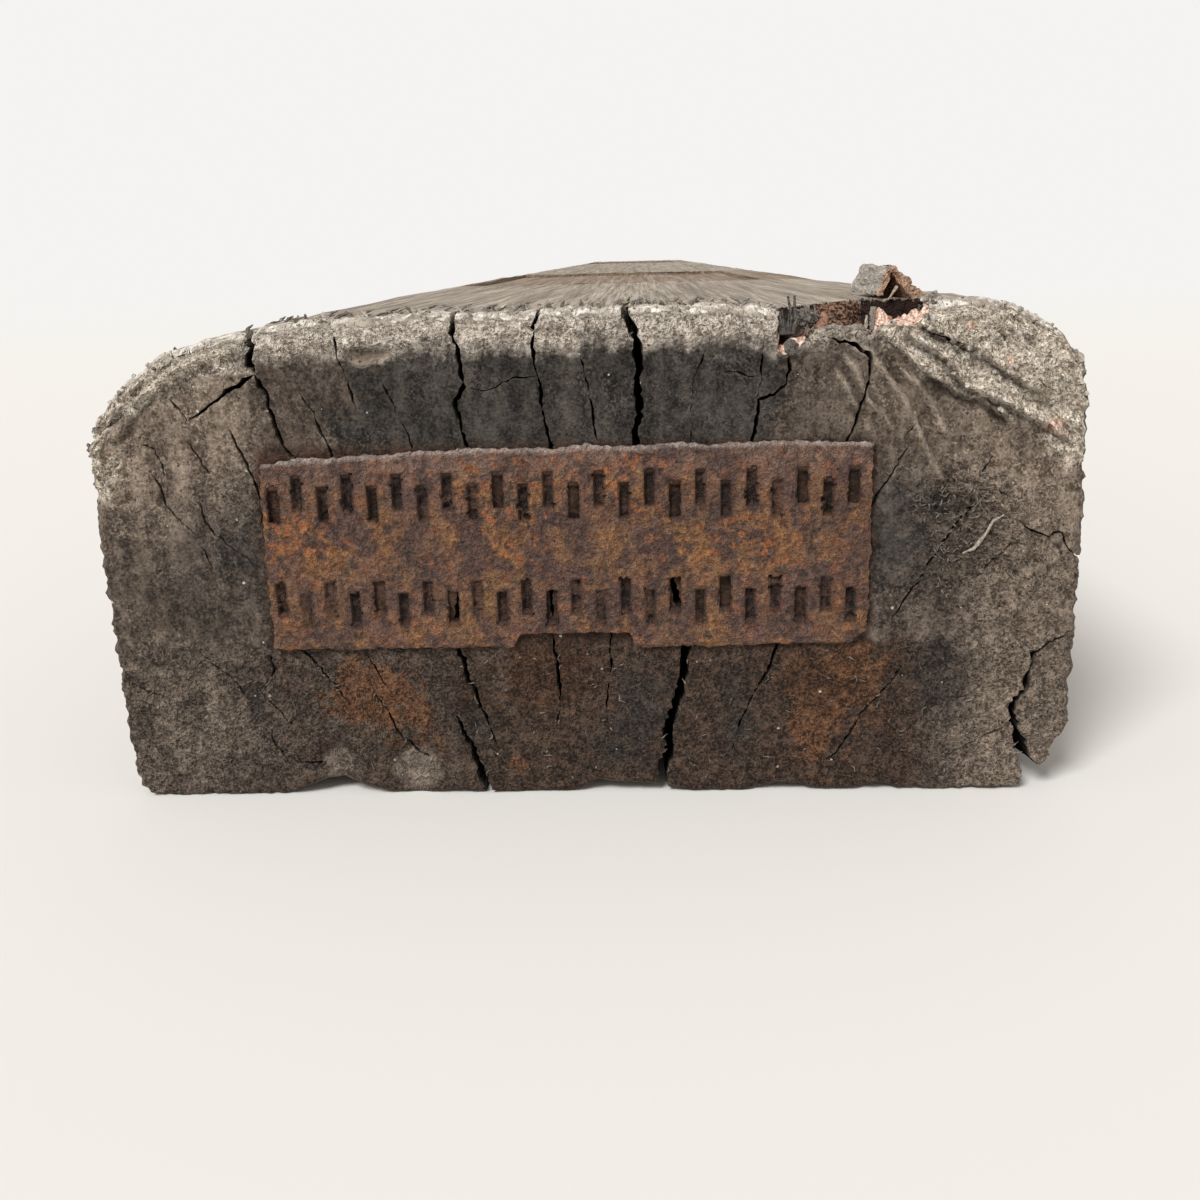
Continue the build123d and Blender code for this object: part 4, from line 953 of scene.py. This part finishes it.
# the fibres, 1-3 mm long, stand off its rough parts, thickest on the crumbled patch at the right
bare = ((finishes["end_grain"] > 0.6) & (run_in < 3) & (finishes["plate_stain"] < 0.2) & (inside < 0.2)
        & (finishes["rough"] > 0.5) & (ez > 3))
crumbled = bare & (spots(ex, ez, (1, 97, 79, 15, 9), (1, 88, 62, 9, 12)) > 0.4)
rooted = [i for where, count in ((crumbled, 170), (bare, 230))
          for i in chance.sample([int(i) for i in np.flatnonzero(where)], count)]
for i in rooted:
    foot, turn, length = timber_mesh.vertices[i].co * 1000, chance.uniform(0, math.tau), 0.7 + 1.5 * chance.random()
    bend = chance.uniform(-0.9, 0.9)
    path = [(foot.x + length * t * math.cos(turn + bend * t), foot.y - NEAR_Y - 0.15 - 0.5 * t * (1.2 - t),
             foot.z + length * t * math.sin(turn + bend * t)) for t in (-0.6, 0.1, 1.0)]
    code = chance.choice(("6f6355", "84776a", "4e443b", "5d5043", "3a322b"))
    strand(bm, code, (0.1, 0.3, 0.08), *path, sides=5, flat=0.7)
crumbs = solid("clinging_crumbs", bm, scale=MM)
crumbs.data.materials.append(torn_oak)
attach(crumbs, "root")

# --- The nail plate ---------------------------------------------------------------
# A pressed steel plate 157 mm by 53.5 mm and 2 mm thick, hammered into the end grain to
# hold it together. Two staggered rows of tongues were punched along each long edge and
# bent into the wood. It has rusted through its zinc, and its edges are eaten ragged.
THICK, TEETH, PITCH, TOOTH_HALF, SLOT = 2.0, 24, 6.43, 1.4, 9.4
TOOTH_X = [-79.945 + PITCH * i for i in range(TEETH)]
# each band of slots: which way its tongues bend, and where its even and its odd slots start
BANDS = ((1, 76.95, 79.95), (-1, 51.65, 48.65))
SLOT_ENDS = (48.65, 51.65, 58.05, 61.05, 76.95, 79.95, 86.35, 89.35)
OPEN_SLOTS = (0, 9, 12, 16, 21, 23, 26)  # without rust in them, the lower band counted from 5
plate_left, plate_right, plate_low, plate_high = -84.0, 73.0, 42.25, 95.75
slots_left, slots_right, slots_low, slots_high = TOOTH_X[0] - TOOTH_HALF, TOOTH_X[-1] + TOOTH_HALF, 48.65, 89.35
FRONT, CELL = NEAR_Y - THICK, 0.62


def lines_between(stops, pitch):
    """Places of grid lines that fall on every stop and are about a pitch apart."""
    places = [stops[0]]
    for a, b in zip(stops, stops[1:]):
        places += list(np.linspace(a, b, max(1, round((b - a) / pitch)) + 1)[1:])
    return places


def slot_span(i, band):
    _, even, odd = BANDS[band]
    base = odd if i % 2 else even
    return base, base + SLOT


def slot_at(x, z):
    """The nearest slot, as its tooth's number and its band, and how far inside its edges x, z lies."""
    i, band = min(TEETH - 1, max(0, round((x - TOOTH_X[0]) / PITCH))), 0 if z > PLATE_Z else 1
    low, high = slot_span(i, band)
    return i, band, min(TOOTH_HALF - abs(x - TOOTH_X[i]), z - low, high - z)


column = lines_between([plate_left] + [x + s for x in TOOTH_X for s in (-TOOTH_HALF, TOOTH_HALF)] + [plate_right], CELL)
row = lines_between([plate_low, *SLOT_ENDS, plate_high], CELL)
bm = bmesh.new()
for v in bmesh.ops.create_grid(bm, x_segments=len(column) - 1, y_segments=len(row) - 1, size=0.5)["verts"]:
    i, j = round((v.co.x + 0.5) * (len(column) - 1)), round((v.co.y + 0.5) * (len(row) - 1))
    v.co = (column[i], FRONT, row[j])
punched = []
for f in bm.faces:
    c = f.calc_center_median()
    i, band, into_slot = slot_at(c.x, c.z)
    if into_slot > 0 and i + 5 * band in OPEN_SLOTS:
        punched.append(f)
bmesh.ops.delete(bm, geom=punched, context="FACES")
# the corroded outline: only the margins outside the slots move
top_x = (-84, -83, -78, -72, -66, -60, -50, -46, -42, -30, -20, -8, 0, 12, 24, 30, 44, 58, 70, 73)
top_z = (91.2, 91.9, 92.6, 93.4, 93.2, 93.9, 93.8, 94.6, 95.0, 95.0, 95.3, 94.9, 95.6, 95.2, 95.9, 95.5, 95.8, 95.6,
         95.4, 95.2)
low_x = (-84, -80, -60, -40, -19.5, -18, 11, 12.5, 40, 62, 68, 73)
low_z = (43.2, 42.7, 42.5, 42.9, 42.5, 46.2, 46.3, 42.3, 42.6, 42.9, 43.0, 46.5)
for v in bm.verts:
    px, pz = v.co.x, v.co.z
    ragged = jitter(px, 0, 0, 1.7, 0.55) + jitter(px, 9, 0, 6, 0.5)
    if pz > slots_high:
        rise = np.interp(px, top_x, top_z) + ragged - slots_high
        v.co.z = slots_high + (pz - slots_high) / (plate_high - slots_high) * rise
    if pz < slots_low:
        drop = slots_low - np.interp(px, low_x, low_z) - ragged * 0.7
        v.co.z = slots_low - (slots_low - pz) / (slots_low - plate_low) * drop
    ragged = jitter(0, 3, pz, 1.8, 0.5) + jitter(0, 3, pz, 7, 0.5)
    if px < slots_left:
        v.co.x += (0.9 + ragged + 0.5 * smooth(88, 92, pz)) * (slots_left - px) / (slots_left - plate_left)
    if px > slots_right:
        v.co.x -= (0.5 + ragged) * (px - slots_right) / (plate_right - slots_right)
for e in [e for e in bm.edges if e.is_boundary]:
    for v in e.verts:
        if slots_low + 0.05 < v.co.z < slots_high - 0.05 and abs(v.co.x - PLATE_X) < 76:
            v.co.x += jitter(v.co.x, 21, v.co.z, 1.3, 0.175)
            v.co.z += jitter(v.co.x, 31, v.co.z, 1.3, 0.175)
rim_places = {(round(v.co.x, 3), round(v.co.z, 3)) for e in bm.edges if e.is_boundary for v in e.verts}
for f in bm.faces:
    if f.normal.y > 0:
        f.normal_flip()
bmesh.ops.solidify(bm, geom=bm.faces[:], thickness=THICK)
bmesh.ops.translate(bm, vec=(0, FRONT - min(v.co.y for v in bm.verts), 0), verts=bm.verts[:])
for v in bm.verts:
    if v.co.y > FRONT + 1:
        continue
    px, pz = v.co.x, v.co.z
    blister = jitter(px, 1, pz, 5.5, 0.45) + jitter(px, 2, pz, 1.9, 0.32) + jitter(px, 4, pz, 30, 0.3)
    pit = 0.5 * max(0.0, noise.noise((px / 2.6, 6, pz / 2.6)) - 0.25)
    worn_rim = 0.35 if (round(px, 3), round(pz, 3)) in rim_places else 0.0
    v.co.y += 0.25 - blister + pit + worn_rim
    # rust and dirt fill most slots part of the way
    i, band, into_slot = slot_at(px, pz)
    if into_slot > 0.25 + jitter(px, 41, pz, 1.1, 0.5):
        fill = 0.4 + jitter(px, i * 7, pz, 2.2, 0.9) + jitter(i, slot_span(i, band)[0], 0, 0.7, 0.8)
        v.co.y = FRONT + 0.25 + min(1.7, max(0.15, 1.7 - 1.1 * fill))
# the tongues, each a strip bent back round the end of its slot and pointed
for i, x in enumerate(TOOTH_X):
    for band, (sense, _, _) in enumerate(BANDS):
        end = slot_span(i, band)[0 if sense < 0 else 1]
        profile = [(-1.2 * math.cos(a), -1.5 * sense * math.sin(a)) for a in np.linspace(0.12, math.pi / 2, 5)]
        profile += [(5, -1.5 * sense), (8, -0.7 * sense), (5, 0), (0, 0.3 * sense), (-1.1, 0.3 * sense)]
        strip = bm.faces.new([bm.verts.new((x - TOOTH_HALF, NEAR_Y + y, end + z)) for y, z in profile])
        grown = bmesh.ops.extrude_face_region(bm, geom=[strip])["geom"]
        bmesh.ops.translate(bm, vec=(2 * TOOTH_HALF, 0, 0), verts=verts_of(grown))
plate = solid("nail_plate_rusted", bm, scale=MM)
face_x, face_y, face_z = np.array([v.co[:] for v in plate.data.vertices]).T * 1000
outside = [np.maximum(np.abs(face_x - x) - TOOTH_HALF, np.abs(face_z - sum(slot_span(i, band)) / 2) - SLOT / 2)
           for band in (0, 1) for i, x in enumerate(TOOTH_X)]
rusted = {
    "edge": smooth(1.6, 0.2, np.interp(face_x, top_x, top_z) - face_z),
    "upper": smooth(83, 93, face_z),
    "slot_edge": smooth(0.7, 0.0, np.minimum.reduce(outside)),
    # painted shade, darker the deeper the rust fill lies behind the front of the plate
    "recess_shade": smooth(0.7, 1.7, face_y - FRONT),
    "orange": spots(face_x, face_z, (1, -20, 77, 9, 9), (1, 8, 88, 12, 7), (1, -72, 72, 10, 6), (1, 62, 92, 3, 3),
                    (1, 36, 70, 16, 6), (0.7, -30, 88, 5, 6)),
    "oval": spots(face_x, face_z, (1, -47, 70, 2.4, 4.4), (1, -18.5, 74.5, 2.2, 3.6)),
}
dressed(plate.data, rusted, 40)

# Rusted mild steel: hot-rolled strip whose zinc has gone, left with layered rust. It is matt and
# scaly, purple-brown where it is old and hard, and orange where it still flakes.
rust = bpy.data.materials.new("rusted_mild_steel")
tree = blank_tree(rust)
place = add(tree, "TexCoord", out="Object")
field = {}
for name, size, detail, rough, twist, stretch, offset, low, high in (
    ("broad", 22, 3, 0.6, 0, plain, 0.2, 0.42, 0.58),
    ("bloom", 12, 3, 0.55, 0.4, (1, 1, 0.7), 0.5, 0.46, 0.56),
    ("patch", 4, 4, 0.65, 0, plain, 0.1, 0.4, 0.6),
    ("stain", 8, 3, 0.6, 0.4, (1, 1, 0.8), 0.8, 0.47, 0.57),
    ("scale", 1.8, 3, 0.7, 0, plain, 0.3, 0.38, 0.62),
    ("fine", 0.7, 2, 0.65, 0, plain, 0.7, 0.36, 0.64),
    ("spot", 3.0, 3, 0.7, 0, plain, 0.9, 0.54, 0.64),
):
    mapped = add(tree, "Mapping", {0: place, 1: (offset, offset / 3, -offset), 3: stretch}, 0)
    raw = add(tree, "TexNoise", {"Vector": mapped, "Scale": 1000 / size, "Detail": detail, "Roughness": rough,
                                 "Distortion": twist}, 0)
    field[name] = add(tree, "MapRange", {0: raw, 1: low, 2: high}, 0)
finish = {name: add(tree, "Attribute", out="Fac", attribute_name=name) for name in rusted}
colour = add(tree, "Mix", {0: field["broad"], 6: "69483f", 7: "815b3a"}, 2, data_type="RGBA")
orange = add(tree, "Math", {0: field["bloom"], 1: 0.6, 2: finish["orange"]}, 0, operation="MULTIPLY_ADD",
             use_clamp=True)
flaking = add(tree, "MapRange", {0: field["patch"], 3: 0.5, 4: 1.0}, 0)
orange = add(tree, "Math", {0: orange, 1: flaking}, 0, operation="MULTIPLY")
blots = add(tree, "MapRange", {0: field["patch"], 1: 0.25, 2: 0.0}, 0)
clustered = add(tree, "Math", {0: finish["orange"], 1: 0.35}, 0, operation="ADD")
flecks = add(tree, "Math", {0: field["spot"], 1: clustered}, 0, operation="MULTIPLY", use_clamp=True)
orange_tone = add(tree, "Mix", {0: field["scale"], 6: "7c4a1f", 7: "a8732f"}, 2, data_type="RGBA")
for mask, strength, tone in (
    (orange, 0.8, orange_tone), (finish["upper"], 0.65, "7b645f"), (field["stain"], 0.9, "3e282a"),
    (blots, 0.8, "2c1d1c"), (flecks, 0.85, "bd6c30"), (finish["oval"], 0.8, "2b201d"),
):
    mask = add(tree, "Math", {0: mask, 1: strength}, 0, operation="MULTIPLY")
    colour = add(tree, "Mix", {0: mask, 6: colour, 7: tone}, 2, data_type="RGBA")
scaly = add(tree, "Mix", {0: 0.35, 2: field["scale"], 3: field["fine"]}, 0)
darker = add(tree, "Mix", {0: 0.45, 6: colour, 7: "20130e"}, 2, data_type="RGBA")
lighter = add(tree, "Mix", {0: 0.2, 6: colour, 7: "bd9d86"}, 2, data_type="RGBA")
colour = add(tree, "Mix", {0: scaly, 6: darker, 7: lighter}, 2, data_type="RGBA")
# a pale rim along the top edge, dark slot edges, and painted shade in the recessed slots
for name, least, most, tone in (
    ("edge", 0.35, 0.9, "b8aaa1"), ("slot_edge", 0.3, 0.75, "3a271f"), ("recess_shade", 0.75, 0.95, "1c110c"),
):
    mask = add(tree, "MapRange", {0: field["scale"], 3: least, 4: most}, 0)
    mask = add(tree, "Math", {0: mask, 1: finish[name]}, 0, operation="MULTIPLY")
    colour = add(tree, "Mix", {0: mask, 6: colour, 7: tone}, 2, data_type="RGBA")
height = 0.0
for pattern, depth in (("patch", 1.0), ("scale", 1.0), ("fine", 0.4)):
    height = add(tree, "Math", {0: field[pattern], 1: depth, 2: height}, 0, operation="MULTIPLY_ADD")
bump = add(tree, "Bump", {"Height": height, "Strength": 1.0, "Distance": 0.0008}, 0)
shader = add(tree, "BsdfPrincipled", {"Base Color": colour, "Roughness": 0.66, "Metallic": 0.1,
                                      "Specular IOR Level": 0.4, "Normal": bump}, 0)
add(tree, "OutputMaterial", {0: shader})
plate.data.materials.append(rust)
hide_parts("nail_plate")
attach(plate, "root")

# --- Floor, light and camera ----------------------------------------------------------
# A pale plain floor with the sleeper lying on it, an even overcast light, and the camera
# at the photograph's viewing angle.
bm = bmesh.new()
bmesh.ops.create_grid(bm, x_segments=1, y_segments=1, size=12)
floor = solid("floor", bm)
if floor.data.polygons[0].normal.z < 0:
    floor.data.flip_normals()
pale = bpy.data.materials.new("pale_floor")
tree = blank_tree(pale)
place = add(tree, "TexCoord", out="Object")
away = add(tree, "SeparateXYZ", {0: place}, "Y")
far_off = add(tree, "MapRange", {0: away, 1: -0.4, 2: 2.6}, 0, interpolation_type="SMOOTHSTEP")
from_middle = add(tree, "VectorMath", {0: place}, "Value", operation="LENGTH")
all_round = add(tree, "MapRange", {0: from_middle, 1: 3.0, 2: 8.0}, 0, interpolation_type="SMOOTHSTEP")
far_off = add(tree, "Math", {0: far_off, 1: all_round}, 0, operation="MAXIMUM")
ray = add(tree, "LightPath")
seen = add(tree, "Math", {0: ray.outputs["Is Camera Ray"], 1: ray.outputs["Is Glossy Ray"]}, 0, operation="MAXIMUM")
seen = add(tree, "Math", {0: seen, 1: far_off}, 0, operation="MULTIPLY")
matt = add(tree, "BsdfPrincipled", {"Base Color": "e6e4e0", "Roughness": 0.9}, 0)
distance_tone = add(tree, "Emission", {0: "f4f3f1", 1: 1.0}, 0)
add(tree, "OutputMaterial", {0: add(tree, "MixShader", {0: seen, 1: matt, 2: distance_tone}, 0)})
floor.data.materials.append(pale)
floor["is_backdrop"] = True

world = bpy.data.worlds.new("overcast")
bpy.context.scene.world = world
tree = blank_tree(world)
ray = add(tree, "LightPath")
seen = add(tree, "Math", {0: ray.outputs["Is Camera Ray"], 1: ray.outputs["Is Glossy Ray"]}, 0, operation="MAXIMUM")
seen = add(tree, "Math", {0: seen, 1: ray.outputs["Is Transmission Ray"]}, 0, operation="MAXIMUM")
backdrop = add(tree, "Background", {0: "f4f3f1", 1: 1.0}, 0)
sky = add(tree, "Background", {0: "fffaf3", 1: 0.5}, 0)
add(tree, "OutputWorld", {0: add(tree, "MixShader", {0: seen, 1: sky, 2: backdrop}, 0)})

# one wide, distant softbox, high at the left of the camera, 22 degrees across
lamp = bpy.data.lights.new("softbox", "SUN")
lamp.energy, lamp.angle = 2.9, math.radians(22)
softbox = bpy.data.objects.new("softbox", lamp)
bpy.context.scene.collection.objects.link(softbox)
softbox.rotation_mode = "QUATERNION"
softbox.rotation_quaternion = Vector((2.0, 3.35, -3.9)).to_track_quat("-Z", "Y")

camera = bpy.data.cameras.new("camera")
camera.sensor_width, camera.lens, camera.clip_start = 36.0, 36.06, 0.01
view = bpy.data.objects.new("camera", camera)
bpy.context.scene.collection.objects.link(view)
yaw, pitch, roll = math.radians(-2.156), math.radians(15.997), math.radians(-1.351)
forward = Vector((math.sin(yaw) * math.cos(pitch), math.cos(yaw) * math.cos(pitch), -math.sin(pitch)))
level = Vector((math.cos(yaw), -math.sin(yaw), 0))
upright = level.cross(forward)
right = math.cos(roll) * level + math.sin(roll) * upright
up = -math.sin(roll) * level + math.cos(roll) * upright
turned = Matrix((right, up, -forward)).transposed().to_4x4()
view.matrix_world = Matrix.Translation((0.01462, -1.59646, 0.14133)) @ turned
bpy.context.scene.camera = view
bpy.context.scene.view_settings.view_transform = "Standard"

low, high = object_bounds()
